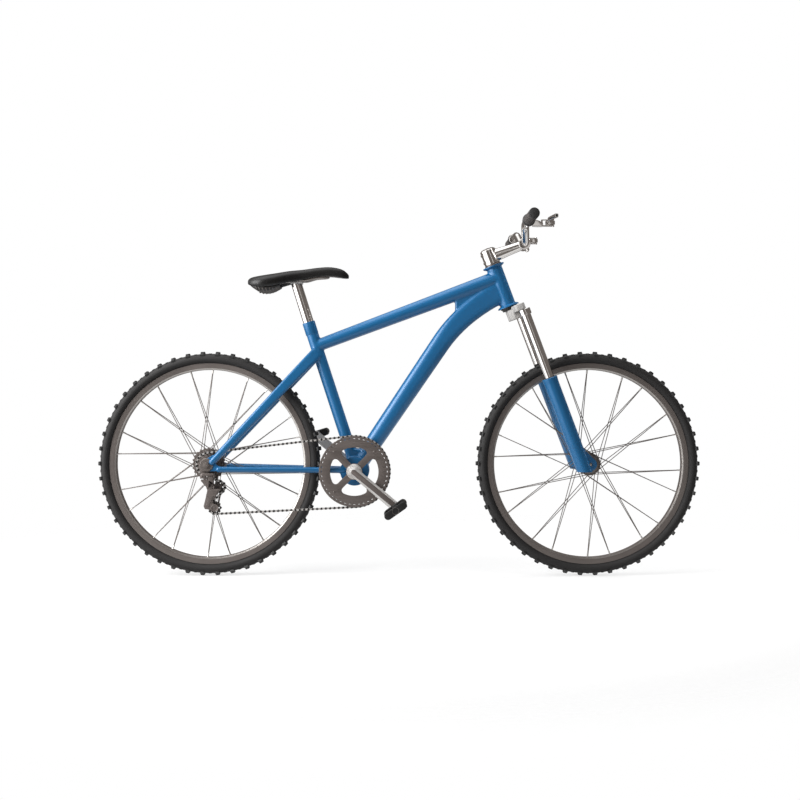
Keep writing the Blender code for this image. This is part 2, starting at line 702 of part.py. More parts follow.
def make_rear_axle():
    """Axle with its right spacer and the two flat nuts that hold it in the drop-outs."""
    nut_low = DROPOUT_OUTER + GAP
    nut_high = nut_low + REAR_NUT_HEIGHT
    right_end = REAR_HUB_HALF_WIDTH - GAP
    profile = [(0, nut_high + 2 * mm), (AXLE_RADIUS, nut_high + 2 * mm), (AXLE_RADIUS, nut_high),
               (REAR_NUT_RADIUS - 3 * mm, nut_high), (REAR_NUT_RADIUS, nut_high - 4 * mm),
               (REAR_NUT_RADIUS, nut_low), (AXLE_RADIUS, nut_low),
               (AXLE_RADIUS, right_end), (NOSE, right_end), (NOSE, FREEHUB_HIGH + GAP),
               (AXLE_RADIUS, FREEHUB_HIGH + GAP), (AXLE_RADIUS, -nut_low),
               (REAR_NUT_RADIUS, -nut_low), (REAR_NUT_RADIUS, 4 * mm - nut_high),
               (REAR_NUT_RADIUS - 3 * mm, -nut_high), (AXLE_RADIUS, -nut_high),
               (AXLE_RADIUS, -nut_high - 2 * mm), (0, -nut_high - 2 * mm)]
    turned("rear_axle", profile, HUB_SIDES, rear_axle_line, GREY_METAL, ring=False)


make_rear_axle()
tube("freehub_body", FREEHUB_RADIUS, HUB_BORE, FREEHUB_LOW, FREEHUB_HIGH, HUB_SIDES,
     rear_axle_line, GREY_METAL)


def make_cassette():
    """The toothed sprockets on one carrier sleeve that slides over the freehub body."""
    bore = around(FREEHUB_RADIUS, HUB_SIDES)
    low = CHAIN_LINE - SPROCKET_SPACING * CHAIN_ON_SPROCKET - TOOTH_THICKNESS / 2
    cassette = cylinder("cassette", bore + 3 * mm, low - GAP, CASSETTE_OUTER + GAP, HUB_SIDES,
                        rear_axle_line, GREY_METAL)
    for n, teeth in enumerate(SPROCKET_TEETH):
        middle = CHAIN_LINE + SPROCKET_SPACING * (n - CHAIN_ON_SPROCKET)
        radius = pitch_radius(teeth)
        outline = toothed(teeth, radius - TOOTH_ROOT, radius + TOOTH_TIP)
        fuse(cassette, plate(f"sprocket_{teeth}", [outline], middle - TOOTH_THICKNESS / 2,
                             middle + TOOTH_THICKNESS / 2, rear_axle_line))
    return cut(cassette, cylinder("cassette_bore", bore, low - 2 * mm, FREEHUB_HIGH, HUB_SIDES,
                                  rear_axle_line))


make_cassette()


# Chain run, in the side view: chainring, sprocket, guide pulley, tension pulley
GUIDE_CENTRE = Vector((REAR_AXLE.x + GUIDE_PULLEY_FORWARD, REAR_AXLE.z - GUIDE_PULLEY_DROP))
TENSION_CENTRE = GUIDE_CENTRE + CAGE_LENGTH * Vector((math.cos(CAGE_ANGLE), math.sin(CAGE_ANGLE)))
WHEELS_OF_CHAIN = (
    (Vector((BOTTOM_BRACKET.x, BOTTOM_BRACKET.z)), pitch_radius(CHAINRING_TEETH), 1),
    (Vector((REAR_AXLE.x, REAR_AXLE.z)), pitch_radius(SPROCKET_TEETH[CHAIN_ON_SPROCKET]), 1),
    (GUIDE_CENTRE, pitch_radius(PULLEY_TEETH), -1),
    (TENSION_CENTRE, pitch_radius(PULLEY_TEETH), 1),
)


def tangent_angles(first, second):
    """Angles at which the run between two chain wheels leaves the first and meets the second."""
    (a, ra, wa), (b, rb, wb) = first, second
    across = b - a
    aim = math.atan2(across.y, across.x)
    lean = math.acos((ra - wa * wb * rb) / across.length)
    leave = aim - wa * lean
    meet = leave if wa == wb else leave + math.pi
    return leave, meet


def chain_arcs():
    """Start and end angle of the chain's arc on each wheel, in its own sense of turning."""
    count = len(WHEELS_OF_CHAIN)
    joins = [tangent_angles(WHEELS_OF_CHAIN[n], WHEELS_OF_CHAIN[(n + 1) % count])
             for n in range(count)]
    arcs = []
    for n, (centre, radius, way) in enumerate(WHEELS_OF_CHAIN):
        start = joins[n - 1][1]
        sweep = way * ((way * (joins[n][0] - start)) % ROUND)
        arcs.append((centre, radius, start, sweep))
    return arcs


def chain_path(step):
    """Corner points of the chain's pitch line, with a point at least every step of an arc."""
    points = []
    for centre, radius, start, sweep in chain_arcs():
        count = max(3, math.ceil(abs(sweep) / step))
        for k in range(count + 1):
            turn = start + sweep * k / count
            points.append(centre + radius * Vector((math.cos(turn), math.sin(turn))))
    return points


def along_path(points, distance):
    """The point of a closed path that lies a distance along it."""
    for here, there in zip(points, points[1:] + points[:1]):
        length = (there - here).length
        if distance <= length:
            return here.lerp(there, distance / length)
        distance -= length
    return points[0]


def make_chain():
    """The outer plates as two bands beside the teeth, tied by pins along the straight runs."""
    points = chain_path(CHAIN_ARC_STEP)
    count = len(points)
    edges = []
    for reach in (CHAIN_PLATE_HALF_HEIGHT, -CHAIN_PLATE_HALF_HEIGHT):
        row = []
        for n, here in enumerate(points):
            before = (here - points[n - 1]).normalized()
            after = (points[(n + 1) % count] - here).normalized()
            along = (before + after).normalized()
            out = Vector((along.y, -along.x)) * reach / max(0.5, along.dot(before))
            row.append((here.x + out.x, here.y + out.y))
        edges.append(row)
    inner = CHAIN_INNER_WIDTH / 2
    outer = inner + CHAIN_PLATE_THICKNESS
    bands = bmesh.new()
    for low, high in ((CHAIN_LINE + inner, CHAIN_LINE + outer),
                      (CHAIN_LINE - outer, CHAIN_LINE - inner)):
        rows = [[bands.verts.new((x, y, z)) for x, y in edges[side]]
                for side, z in ((0, low), (0, high), (1, high), (1, low))]
        for one, two in zip(rows, rows[1:] + rows[:1]):
            for n in range(count):
                m = (n + 1) % count
                bands.faces.new((one[n], one[m], two[m], two[n]))
    chain = from_bmesh("chain", bands, side_plane, GREY_METAL)
    pins = bmesh.new()
    length = sum((b - a).length for a, b in zip(points, points[1:] + points[:1]))
    links = 2 * round(length / CHAIN_PITCH / 2)
    for n in range(0, links, CHAIN_PIN_EVERY):
        spot = along_path(points, n * length / links)
        if any((spot - centre).length < radius + CHAIN_PLATE_HALF_HEIGHT
               for centre, radius, way in WHEELS_OF_CHAIN):
            continue
        made = bmesh.ops.create_cone(pins, cap_ends=True, segments=4, radius1=CHAIN_PIN_RADIUS,
                                     radius2=CHAIN_PIN_RADIUS, depth=inner + outer)
        bmesh.ops.transform(pins, matrix=Matrix.Translation((spot.x, spot.y, CHAIN_LINE)),
                            verts=made["verts"])
    return fuse(chain, from_bmesh("chain_pins", pins, side_plane))


side_plane = axis_empty("side_plane", (0, 0, 0), SIDE_VIEW)
make_chain()


# Frame
TUBE_SIDES = 12
TOP_TUBE_REAR = SEAT_TOP - TOP_TUBE_BELOW_SEAT * SEAT_UP
TOP_TUBE_FRONT = HEAD_BOTTOM + TOP_TUBE_ABOVE_CROWN * STEER_UP
DROPOUT_INNER = REAR_HUB_HALF_WIDTH
CHAINSTAY_START = BOTTOM_BRACKET + Vector((-28 * mm, 0, 2 * mm))
CHAINSTAY_END = REAR_AXLE + Vector((26 * mm, 0, -13 * mm))
CHAINSTAY_SPREADS = ((0, 28 * mm), (0.225, 31.5 * mm), (0.37, 40 * mm), (1, STAY_SPREAD))
SEATSTAY_START = REAR_AXLE + Vector((17 * mm, 0, 9 * mm))
SEATSTAY_BELOW_SEAT = 93 * mm
SEATSTAY_SPREADS = ((0, STAY_SPREAD), (0.55, 48 * mm), (0.78, 36 * mm), (0.9, 26 * mm), (1, 11 * mm))


def sloped(angle):
    """A unit vector in the middle plane, at an angle up from forwards."""
    return Vector((math.cos(angle), 0, math.sin(angle)))


DOWN_TUBE_SLOPE = sloped(math.pi / 2 - DOWN_TUBE_ANGLE)
DOWN_TUBE_BEND = BOTTOM_BRACKET + DOWN_TUBE_STRAIGHT * DOWN_TUBE_SLOPE
DOWN_TUBE_FRONT = HEAD_BOTTOM + DOWN_TUBE_ABOVE_CROWN * STEER_UP


def crossing(start, along, end, back):
    """Where a line from start meets a line from end, both in the middle plane."""
    gap = end - start
    reach = (gap.x * back.z - gap.z * back.x) / (along.x * back.z - along.z * back.x)
    return start + reach * along


def down_tube_bend(share):
    """Centre and direction of the down tube, from the start of its bend to the head tube."""
    corner = crossing(DOWN_TUBE_BEND, DOWN_TUBE_SLOPE, DOWN_TUBE_FRONT, sloped(DOWN_TUBE_ENTRY))
    first = DOWN_TUBE_BEND.lerp(corner, share)
    last = corner.lerp(DOWN_TUBE_FRONT, share)
    return first.lerp(last, share), (last - first).normalized()


def section(centre, along, half_height, half_width, count=12, square=2):
    """An upright oval across a tube that runs in a direction of the middle plane."""
    upright = Vector((-along.z, 0, along.x)).normalized()
    return oval(centre, upright * half_height, Vector((0, half_width, 0)), count, square)


def make_down_tube():
    rings = [section(BOTTOM_BRACKET, DOWN_TUBE_SLOPE, DOWN_TUBE_REAR_HALF_HEIGHT,
                     DOWN_TUBE_REAR_HALF_HEIGHT)]
    for share in (0, 0.25, 0.5, 0.75, 1):
        centre, along = down_tube_bend(share)
        height = (1 - share) * DOWN_TUBE_MID_HALF_HEIGHT + share * DOWN_TUBE_HEAD_HALF_HEIGHT
        width = (1 - share) * DOWN_TUBE_WIDTH + share * DOWN_TUBE_HEAD_WIDTH
        rings.append(section(centre, along, height, width, square=2 + share))
    return loft("down_tube", rings)


def make_gusset():
    """The web that closes the corner between the top tube and the down tube."""
    low, _ = down_tube_bend(GUSSET_START)
    along = TOP_TUBE_FRONT - TOP_TUBE_REAR
    high = TOP_TUBE_REAR + along * (low.x - TOP_TUBE_REAR.x) / along.x
    corners = (low, DOWN_TUBE_FRONT, TOP_TUBE_FRONT, high)
    return plate("gusset", [[(spot.x, spot.z) for spot in corners]], -GUSSET_HALF_THICKNESS,
                 GUSSET_HALF_THICKNESS, side_plane)


def spread_at(spreads, share):
    """Distance from the middle plane at a share of a stay's length."""
    for (low, near), (high, far) in zip(spreads, spreads[1:]):
        if share <= high:
            return near + (far - near) * (share - low) / (high - low)
    return spreads[-1][1]


def make_stays(side):
    route = []
    for share, spread in CHAINSTAY_SPREADS:
        spot = CHAINSTAY_START.lerp(CHAINSTAY_END, share)
        route.append((spot.x, side * spread, spot.z))
    chainstay = bent_bar(f"chainstay_{side}", route, CHAINSTAY_RADIUS, 2)
    top = SEAT_TOP - SEATSTAY_BELOW_SEAT * SEAT_UP
    along = (top - SEATSTAY_START).normalized()
    rings = []
    for share, spread in SEATSTAY_SPREADS:
        centre = SEATSTAY_START.lerp(top, share) + Vector((0, side * spread, 0))
        height = SEATSTAY_RADIUS + share * (SEATSTAY_TOP_HEIGHT - SEATSTAY_RADIUS)
        rings.append(section(centre, along, height, SEATSTAY_RADIUS, 8))
    return chainstay, loft(f"seatstay_{side}", rings)


def make_dropout(side):
    """Plate between the stay ends round the axle; the right one carries the derailleur hanger."""
    corners = [(-13 * mm, 12 * mm, 9 * mm), (22 * mm, 30 * mm, 2 * mm), (34 * mm, 20 * mm, 2 * mm),
               (27 * mm, 1 * mm, 5 * mm), (48 * mm, -6 * mm, 2 * mm), (48 * mm, -19 * mm, 2 * mm)]
    axle_hole = circle(0, 0, AXLE_RADIUS + GAP, HUB_SIDES)
    holes = [axle_hole]
    if side < 0:
        corners += [(0, -20 * mm, 2 * mm), (0, -HANGER_DROP - HANGER_BOSS_RADIUS, 6 * mm),
                    (-2 * HANGER_BACK, -HANGER_DROP - HANGER_BOSS_RADIUS, 6 * mm)]
        holes.append(circle(-HANGER_BACK, -HANGER_DROP, around(HANGER_BOLT_RADIUS, 8), 8))
    else:
        corners += [(6 * mm, -19 * mm, 6 * mm), (-13 * mm, -12 * mm, 9 * mm)]
    outlines = [rounded(corners[::-1], 1)] + holes
    low, high = DROPOUT_INNER, DROPOUT_OUTER
    if side > 0:
        low, high = -high, -low
    return plate(f"dropout_{side}", outlines, low, high, rear_axle_line)


def make_frame():
    frame = cylinder("frame", SHELL_RADIUS, -SHELL_HALF_WIDTH, SHELL_HALF_WIDTH, 20, crank_line,
                     BLUE_PAINT)
    flange, cone = HEAD_FLANGE_THICKNESS, 2.5 * HEAD_FLANGE_THICKNESS
    top = HEAD_TUBE_LENGTH
    head = turned("head_tube", [(0, top), (HEAD_FLANGE_RADIUS, top),
                                (HEAD_FLANGE_RADIUS, top - flange), (HEAD_TUBE_RADIUS, top - cone),
                                (HEAD_TUBE_RADIUS, cone), (HEAD_FLANGE_RADIUS, flange),
                                (HEAD_FLANGE_RADIUS, 0), (0, 0)],
                  TUBE_SIDES, steering_line, ring=False)
    collar = -SEAT_TUBE_COLLAR_LENGTH
    seat_tube = turned("seat_tube", [(0, 0), (SEAT_TUBE_COLLAR, 0), (SEAT_TUBE_COLLAR, collar),
                                     (SEAT_TUBE_RADIUS, collar - 3 * mm),
                                     (SEAT_TUBE_RADIUS, -SEAT_TUBE_LENGTH), (0, -SEAT_TUBE_LENGTH)],
                       TUBE_SIDES, seat_line, ring=False)
    top_tube = rod("top_tube", TOP_TUBE_REAR, TOP_TUBE_FRONT, TOP_TUBE_REAR_RADIUS, 12,
                   end_radius=TOP_TUBE_FRONT_RADIUS)
    for bored in (head, seat_tube):
        bored.rotation_euler.z = math.pi / TUBE_SIDES
    fuse(frame, seat_tube, top_tube, make_down_tube(), make_gusset(), head)
    for side in (-1, 1):
        fuse(frame, *make_stays(side), make_dropout(side))
    return cut(frame,
               cylinder("head_bore", HEAD_BORE, -mm, HEAD_TUBE_LENGTH + mm, TUBE_SIDES,
                        steering_line),
               cylinder("seat_bore", SEATPOST_RADIUS + GAP, -SEATPOST_BORE_LENGTH, mm, TUBE_SIDES,
                        seat_line),
               cylinder("shell_bore", SHELL_BORE, -SHELL_HALF_WIDTH - mm, SHELL_HALF_WIDTH + mm,
                        TUBE_SIDES, crank_line))


make_frame()


# Bottom bracket, cranks and pedals
CRANK_OUTER_FACE = CRANK_INNER_FACE + CRANK_THICKNESS
SPINDLE_SIDES = 12
SPINDLE_END = CRANK_OUTER_FACE - 1 * mm
CUP_FLANGE_RADIUS = 21 * mm
CUP_OUTER = SHELL_HALF_WIDTH + 4 * mm
CHAINRING_SLEEVE = CHAINRING_HOLE - GAP
CHAINRING_RIM = 75 * mm, 98 * mm
DISC_LOW = CHAIN_LINE + CHAIN_INNER_WIDTH / 2 + CHAIN_PLATE_THICKNESS + 0.4 * mm
DISC_HIGH = DISC_LOW + CHAINRING_DISC_THICKNESS
CRANK_PLACES = {"right": (1, CRANK_ANGLE, PEDAL_RIGHT_TILT),
                "left": (-1, CRANK_ANGLE + math.pi, PEDAL_LEFT_TILT)}


def span(way, low, high):
    """A stretch across the bicycle on the drive side (way 1) or mirrored to the other (-1)."""
    return (low, high) if way > 0 else (-high, -low)


def flipped(way, profile):
    """A turning profile mirrored to the other side, its outer side still running downwards."""
    return profile if way > 0 else [(r, -z) for r, z in reversed(profile)]


def link_outline(a, ra, b, rb, steps=5):
    """Outline of a flat bar with a round end of its own radius about each of two centres."""
    a, b = Vector(a), Vector(b)
    across = b - a
    aim = math.atan2(across.y, across.x)
    lean = math.acos((ra - rb) / across.length)
    outline = []
    for centre, radius, start, sweep in ((a, ra, aim + lean, ROUND - 2 * lean),
                                         (b, rb, aim - lean, 2 * lean)):
        for k in range(steps + 1):
            turn = start + sweep * k / steps
            outline.append((centre.x + radius * math.cos(turn), centre.y + radius * math.sin(turn)))
    return outline


def make_cup(side, way):
    bore = around(SPINDLE_RADIUS, SPINDLE_SIDES)
    outer, seat, inner = CUP_OUTER, SHELL_HALF_WIDTH + GAP, SHELL_HALF_WIDTH - 20 * mm
    body = SHELL_BORE - GAP
    profile = [(CUP_FLANGE_RADIUS, outer), (CUP_FLANGE_RADIUS, seat), (body, seat), (body, inner),
               (bore, inner), (bore, outer)]
    turned(f"bb_cup_{side}", flipped(way, profile), TUBE_SIDES, crank_line, GREY_METAL)


def crank_end(angle):
    return Vector((CRANK_LENGTH * math.cos(angle), CRANK_LENGTH * math.sin(angle)))


def make_crank(side, way, angle):
    """The arm with its boss on the spindle; the right one also carries the chainring on a sleeve."""
    end = crank_end(angle)
    outline = link_outline((0, 0), CRANK_ROOT_RADIUS, end, CRANK_END_RADIUS)
    hole = circle(end.x, end.y, around(PEDAL_SPINDLE_RADIUS, 8), 8)
    low, high = span(way, CRANK_INNER_FACE, CRANK_OUTER_FACE)
    crank = plate(f"crank_{side}", [outline, hole], low, high, crank_line, CHROME)
    inner = CUP_OUTER + 1 * mm
    if way > 0:
        boss = turned("crank_boss", [(0, CRANK_INNER_FACE + 2 * mm),
                                     (CRANK_ROOT_RADIUS + 3 * mm, CRANK_INNER_FACE + 2 * mm),
                                     (CRANK_BOSS_RADIUS, CRANK_INNER_FACE - 3 * mm),
                                     (CRANK_BOSS_RADIUS, DISC_HIGH + GAP),
                                     (CHAINRING_SLEEVE, DISC_HIGH + GAP),
                                     (CHAINRING_SLEEVE, inner), (0, inner)],
                      TUBE_SIDES, crank_line, ring=False)
    else:
        low, high = span(way, inner, CRANK_INNER_FACE + 2 * mm)
        boss = cylinder("crank_boss_left", CRANK_ROOT_RADIUS + 4 * mm, low, high, TUBE_SIDES,
                        crank_line)
    low, high = span(way, inner - 1 * mm, SPINDLE_END + GAP)
    bore = cylinder(f"spindle_bore_{side}", SPINDLE_RADIUS + GAP, low, high, SPINDLE_SIDES,
                    crank_line)
    cut(fuse(crank, boss), bore)


def make_chainring():
    """Toothed ring and outer guard disc with four windows, joined by a rim between them."""
    pitch = pitch_radius(CHAINRING_TEETH)
    low, high = CHAINRING_RIM
    teeth = plate("chainring_teeth", [toothed(CHAINRING_TEETH, pitch - TOOTH_ROOT,
                                              pitch + TOOTH_TIP), circle(0, 0, low, TUBE_SIDES)],
                  CHAIN_LINE - TOOTH_THICKNESS / 2, CHAIN_LINE + TOOTH_THICKNESS / 2, crank_line)
    rim = tube("chainring_rim", high, low + 1 * mm, CHAIN_LINE, DISC_LOW + 1 * mm, 20, crank_line)
    windows = []
    root = CRANK_BOSS_RADIUS + 5 * mm
    for quarter in range(4):
        middle = quarter * math.pi / 2
        window = []
        for radius, way, count in ((CHAINRING_WINDOW_RADIUS, 1, 5), (root, -1, 3)):
            half = math.pi / 4 - math.asin(CHAINRING_ARM_WIDTH / 2 / radius)
            for k in range(count):
                turn = middle + way * half * (2 * k / (count - 1) - 1)
                window.append((radius * math.cos(turn), radius * math.sin(turn)))
        windows.append(window)
    outlines = [circle(0, 0, CHAINRING_DISC_RADIUS, 36), circle(0, 0, CHAINRING_HOLE, TUBE_SIDES)]
    disc = plate("chainring", outlines + windows, DISC_LOW, DISC_HIGH, crank_line, GREY_METAL)
    fuse(disc, rim, teeth)


def make_pedal(side, way, angle, tilt):
    end = crank_end(angle)
    place = BOTTOM_BRACKET + Vector((end.x, 0, end.y))
    line = axis_empty(f"pedal_{side}_line", place, (math.pi / 2, -tilt, 0))
    inner = CRANK_OUTER_FACE + GAP + PEDAL_SHOULDER + GAP
    outer = inner + PEDAL_WIDTH
    shoulder = PEDAL_SPINDLE_RADIUS + 2 * mm
    head = outer + GAP
    profile = [(0, head + 1.7 * mm), (shoulder, head + 1.7 * mm), (shoulder, head),
               (PEDAL_SPINDLE_RADIUS, head), (PEDAL_SPINDLE_RADIUS, inner - GAP),
               (shoulder, inner - GAP), (shoulder, CRANK_OUTER_FACE + GAP),
               (PEDAL_SPINDLE_RADIUS, CRANK_OUTER_FACE + GAP),
               (PEDAL_SPINDLE_RADIUS, CRANK_INNER_FACE), (0, CRANK_INNER_FACE)]
    turned(f"pedal_spindle_{side}", flipped(way, profile), 8, line, CHROME, ring=False)
    low, high = span(way, inner, outer)
    half = PEDAL_HEIGHT / 2
    reach = PEDAL_LENGTH / 2 - half
    outline = link_outline((-reach, 0), half, (reach, 0), half, 4)
    bore = circle(0, 0, around(PEDAL_SPINDLE_RADIUS, 8), 8)
    pedal = plate(f"pedal_{side}", [outline, bore], low, high, line, BLACK_PLASTIC)
    rail = 12 * mm
    for end in (-1, 1):
        inside, outside = sorted((end * rail, end * (rail + PEDAL_WINDOW)))
        cut(pedal, block(f"pedal_{side}_window{end}", (inside, -PEDAL_HEIGHT, low + rail),
                         (outside, PEDAL_HEIGHT, high - rail), line))


for side, (way, angle, tilt) in CRANK_PLACES.items():
    make_cup(side, way)
    make_crank(side, way, angle)
    make_pedal(side, way, angle, tilt)
make_chainring()
cylinder("bb_spindle", SPINDLE_RADIUS, -SPINDLE_END, SPINDLE_END, SPINDLE_SIDES, crank_line,
         GREY_METAL)


# Fork
CROWN_BOTTOM = -CROWN_TOP - CROWN_HEIGHT
LEG_TOP = CROWN_BOTTOM - STANCHION_EXPOSED
LEG_FLOOR = LEG_TOP - LEG_BORE_LENGTH
STANCHION_BOTTOM = LEG_TOP - STANCHION_INSERTION
STANCHION_TOP = -CROWN_TOP
STANCHION_CAP = 3 * mm
PISTON_TOP = STANCHION_BOTTOM + 30 * mm
STEERER_TOP = HEAD_TUBE_LENGTH + STEM_ABOVE_HEAD + STEM_CLAMP_HEIGHT - 4 * mm
SPRING_OUTER = STANCHION_RADIUS - STANCHION_WALL - 1 * mm


def make_crown():
    """One casting: a hub round the steerer tube and a clamp round each stanchion."""
    out, back, front = LEG_SPREAD, LEG_OFFSET - CROWN_CLAMP_RADIUS, LEG_OFFSET + CROWN_CLAMP_RADIUS
    half = [(-STEERER_RADIUS - 4 * mm, 22 * mm, 8 * mm), (back, out + CROWN_CLAMP_RADIUS, 12 * mm),
            (front, out + CROWN_CLAMP_RADIUS, 18 * mm), (front, out - CROWN_CLAMP_RADIUS, 14 * mm),
            (STEERER_RADIUS + 10 * mm, 22 * mm, 6 * mm)]
    corners = half + [(x, -y, radius) for x, y, radius in reversed(half)]
    holes = [circle(0, 0, STEERER_RADIUS + GAP, TUBE_SIDES)]
    for way in (-1, 1):
        holes.append(circle(LEG_OFFSET, way * out, STANCHION_RADIUS + GAP, SPINDLE_SIDES))
    plate("fork_crown", [rounded(corners, 2)] + holes, CROWN_BOTTOM, -CROWN_TOP, steering_line,
          CAST_GREY)


def make_fork_leg(side, way):
    line = axis_empty(f"fork_leg_{side}_line",
                      HEAD_BOTTOM + LEG_OFFSET * STEER_FORWARD + Vector((0, -way * LEG_SPREAD, 0)),
                      (0, -HEAD_ANGLE, 0))
    bore = around(STANCHION_RADIUS, SPINDLE_SIDES)
    foot = -FORK_LENGTH - 40 * mm
    leg = turned(f"fork_leg_{side}", [(0, LEG_FLOOR), (bore, LEG_FLOOR), (bore, LEG_TOP),
                                      (LEG_LIP_RADIUS, LEG_TOP), (LEG_RADIUS, LEG_TOP - 14 * mm),
                                      (LEG_RADIUS, foot), (0, foot)],
                 SPINDLE_SIDES, line, BLUE_PAINT, ring=False)
    cap = STANCHION_TOP - STANCHION_CAP
    inner = STANCHION_RADIUS - STANCHION_WALL
    turned(f"stanchion_{side}", [(0, STANCHION_TOP), (STANCHION_RADIUS, STANCHION_TOP),
                                 (STANCHION_RADIUS, STANCHION_BOTTOM), (inner, STANCHION_BOTTOM),
                                 (inner, cap), (0, cap)],
           SPINDLE_SIDES, line, CHROME, ring=False)
    turned(f"piston_rod_{side}", [(0, PISTON_TOP), (inner - GAP, PISTON_TOP),
                                  (inner - GAP, PISTON_TOP - PISTON_LENGTH),
                                  (PISTON_ROD_RADIUS, PISTON_TOP - PISTON_LENGTH),
                                  (PISTON_ROD_RADIUS, LEG_FLOOR + GAP), (0, LEG_FLOOR + GAP)],
           SPINDLE_SIDES, line, GREY_METAL, ring=False)
    if way < 0:
        tube("fork_spring", SPRING_OUTER, SPRING_OUTER - 2.5 * mm, PISTON_TOP + GAP, cap - GAP,
             SPINDLE_SIDES, line, GREY_METAL)
    tip = [(FORK_TIP_RADIUS * math.cos(math.radians(turn)),
            FORK_TIP_RADIUS * math.sin(math.radians(turn))) for turn in range(-90, 51, 28)]
    tip += [(-30 * mm, 55 * mm), (-46 * mm, 52 * mm), (-24 * mm, -FORK_TIP_RADIUS)]
    low, high = span(way, FRONT_HUB_HALF_WIDTH - GAP, FRONT_HUB_HALF_WIDTH + FORK_TIP_THICKNESS)
    fuse(leg, plate(f"fork_tip_{side}", [tip], low, high, front_axle_line))
    recess, hole = around(DUST_DISC_RADIUS, HUB_SIDES), AXLE_RADIUS + GAP
    profile = [(0, FRONT_AXLE_END + GAP), (hole, FRONT_AXLE_END + GAP),
               (hole, FRONT_HUB_HALF_WIDTH), (recess, FRONT_HUB_HALF_WIDTH), (recess, 0), (0, 0)]
    hub_space = turned(f"hub_space_{side}", flipped(way, profile), HUB_SIDES, front_axle_line,
                       ring=False)
    level = FRONT_AXLE.z - LEG_BELOW_AXLE
    middle = FRONT_AXLE + Vector((-20 * mm, -way * LEG_SPREAD, 0))
    ground = block(f"leg_foot_{side}", (middle.x - 60 * mm, middle.y - 40 * mm, level - 80 * mm),
                   (middle.x + 60 * mm, middle.y + 40 * mm, level))
    cut(leg, hub_space, ground)


make_crown()
tube("steerer_tube", STEERER_RADIUS, STEERER_RADIUS - STEERER_WALL, CROWN_BOTTOM, STEERER_TOP,
     TUBE_SIDES, steering_line, GREY_METAL)
for side, (way, angle, tilt) in CRANK_PLACES.items():
    make_fork_leg(side, way)


# Headset, stem and handlebar
STEERER_BORE = around(STEERER_RADIUS, TUBE_SIDES)
BEARING_DEPTH = 10 * mm
STEM_BOTTOM = HEAD_TUBE_LENGTH + STEM_ABOVE_HEAD
STEM_TOP = STEM_BOTTOM + STEM_CLAMP_HEIGHT
STEM_MIDDLE = (STEM_BOTTOM + STEM_TOP) / 2
BAR_CENTRE = HEAD_BOTTOM + STEM_LENGTH * STEER_FORWARD + STEM_MIDDLE * STEER_UP
GRIP_CENTRE = BAR_CENTRE + Vector((-BAR_SETBACK, 0, BAR_RISE))
BAR_SHAPE = ((42 * mm, 0), (58 * mm, 0.09), (108 * mm, 0.91), (124 * mm, 1))
BAR_END = BAR_HALF_WIDTH - GRIP_END - GAP
BAR_BORE = around(BAR_RADIUS, SPINDLE_SIDES)
grip_line = axis_empty("grip_line", GRIP_CENTRE, SIDE_VIEW)


def make_headset():
    cup, flange = HEAD_BORE - GAP, HEAD_TUBE_RADIUS + 2 * mm
    low, high = HEAD_TUBE_LENGTH + GAP, STEM_BOTTOM - GAP
    turned("headset_upper_bearing", [(flange, high), (flange, low), (cup, low),
                                     (cup, low - BEARING_DEPTH), (STEERER_BORE, low - BEARING_DEPTH),
                                     (STEERER_BORE, high)], TUBE_SIDES, steering_line, GREY_METAL)
    low, high = -CROWN_TOP + GAP, -GAP
    turned("headset_lower_bearing", [(cup, BEARING_DEPTH), (cup, high), (flange, high),
                                     (flange, low), (STEERER_BORE, low),
                                     (STEERER_BORE, BEARING_DEPTH)],
           TUBE_SIDES, steering_line, BLACK_PLASTIC)


def make_stem():
    stem = cylinder("stem", STEM_CLAMP_RADIUS, STEM_BOTTOM, STEM_TOP, TUBE_SIDES, steering_line,
                    CHROME)
    arm = rod("stem_arm", (STEERER_RADIUS, 0, STEM_MIDDLE), (STEM_LENGTH, 0, STEM_MIDDLE),
              STEM_ARM_RADIUS + 1 * mm, SPINDLE_SIDES, steering_line,
              end_radius=STEM_ARM_RADIUS - 2 * mm)
    half = BAR_CLAMP_WIDTH / 2
    clamp = rod("bar_clamp", (STEM_LENGTH, -half, STEM_MIDDLE), (STEM_LENGTH, half, STEM_MIDDLE),
                BAR_CLAMP_RADIUS, SPINDLE_SIDES, steering_line)
    bar_bore = rod("bar_bore", (STEM_LENGTH, -2 * half, STEM_MIDDLE),
                   (STEM_LENGTH, 2 * half, STEM_MIDDLE), BAR_BORE, SPINDLE_SIDES, steering_line)
    steerer_bore = cylinder("stem_bore", STEERER_RADIUS + GAP, STEM_BOTTOM - mm, STEM_TOP + mm,
                            TUBE_SIDES, steering_line)
    cut(fuse(stem, arm, clamp), bar_bore, steerer_bore)
    rim, plug = STEM_CLAMP_RADIUS - 3 * mm, STEERER_RADIUS - STEERER_WALL - GAP
    low = STEM_TOP + GAP
    turned("stem_cap", [(0, low + 4 * mm), (rim - 3 * mm, low + 4 * mm), (rim, low + 2 * mm),
                        (rim, low), (plug, low), (plug, low - 12 * mm), (0, low - 12 * mm)],
           TUBE_SIDES, steering_line, GREY_METAL, ring=False)


def make_handlebar():
    half = [(spread, share) for spread, share in BAR_SHAPE] + [(BAR_END, 1)]
    route = [(-spread, share) for spread, share in reversed(half)] + half
    points = [BAR_CENTRE + Vector((-BAR_SETBACK * share, y, BAR_RISE * share)) for y, share in route]
    bent_bar("handlebar", points, BAR_RADIUS, 4, finish=CHROME)


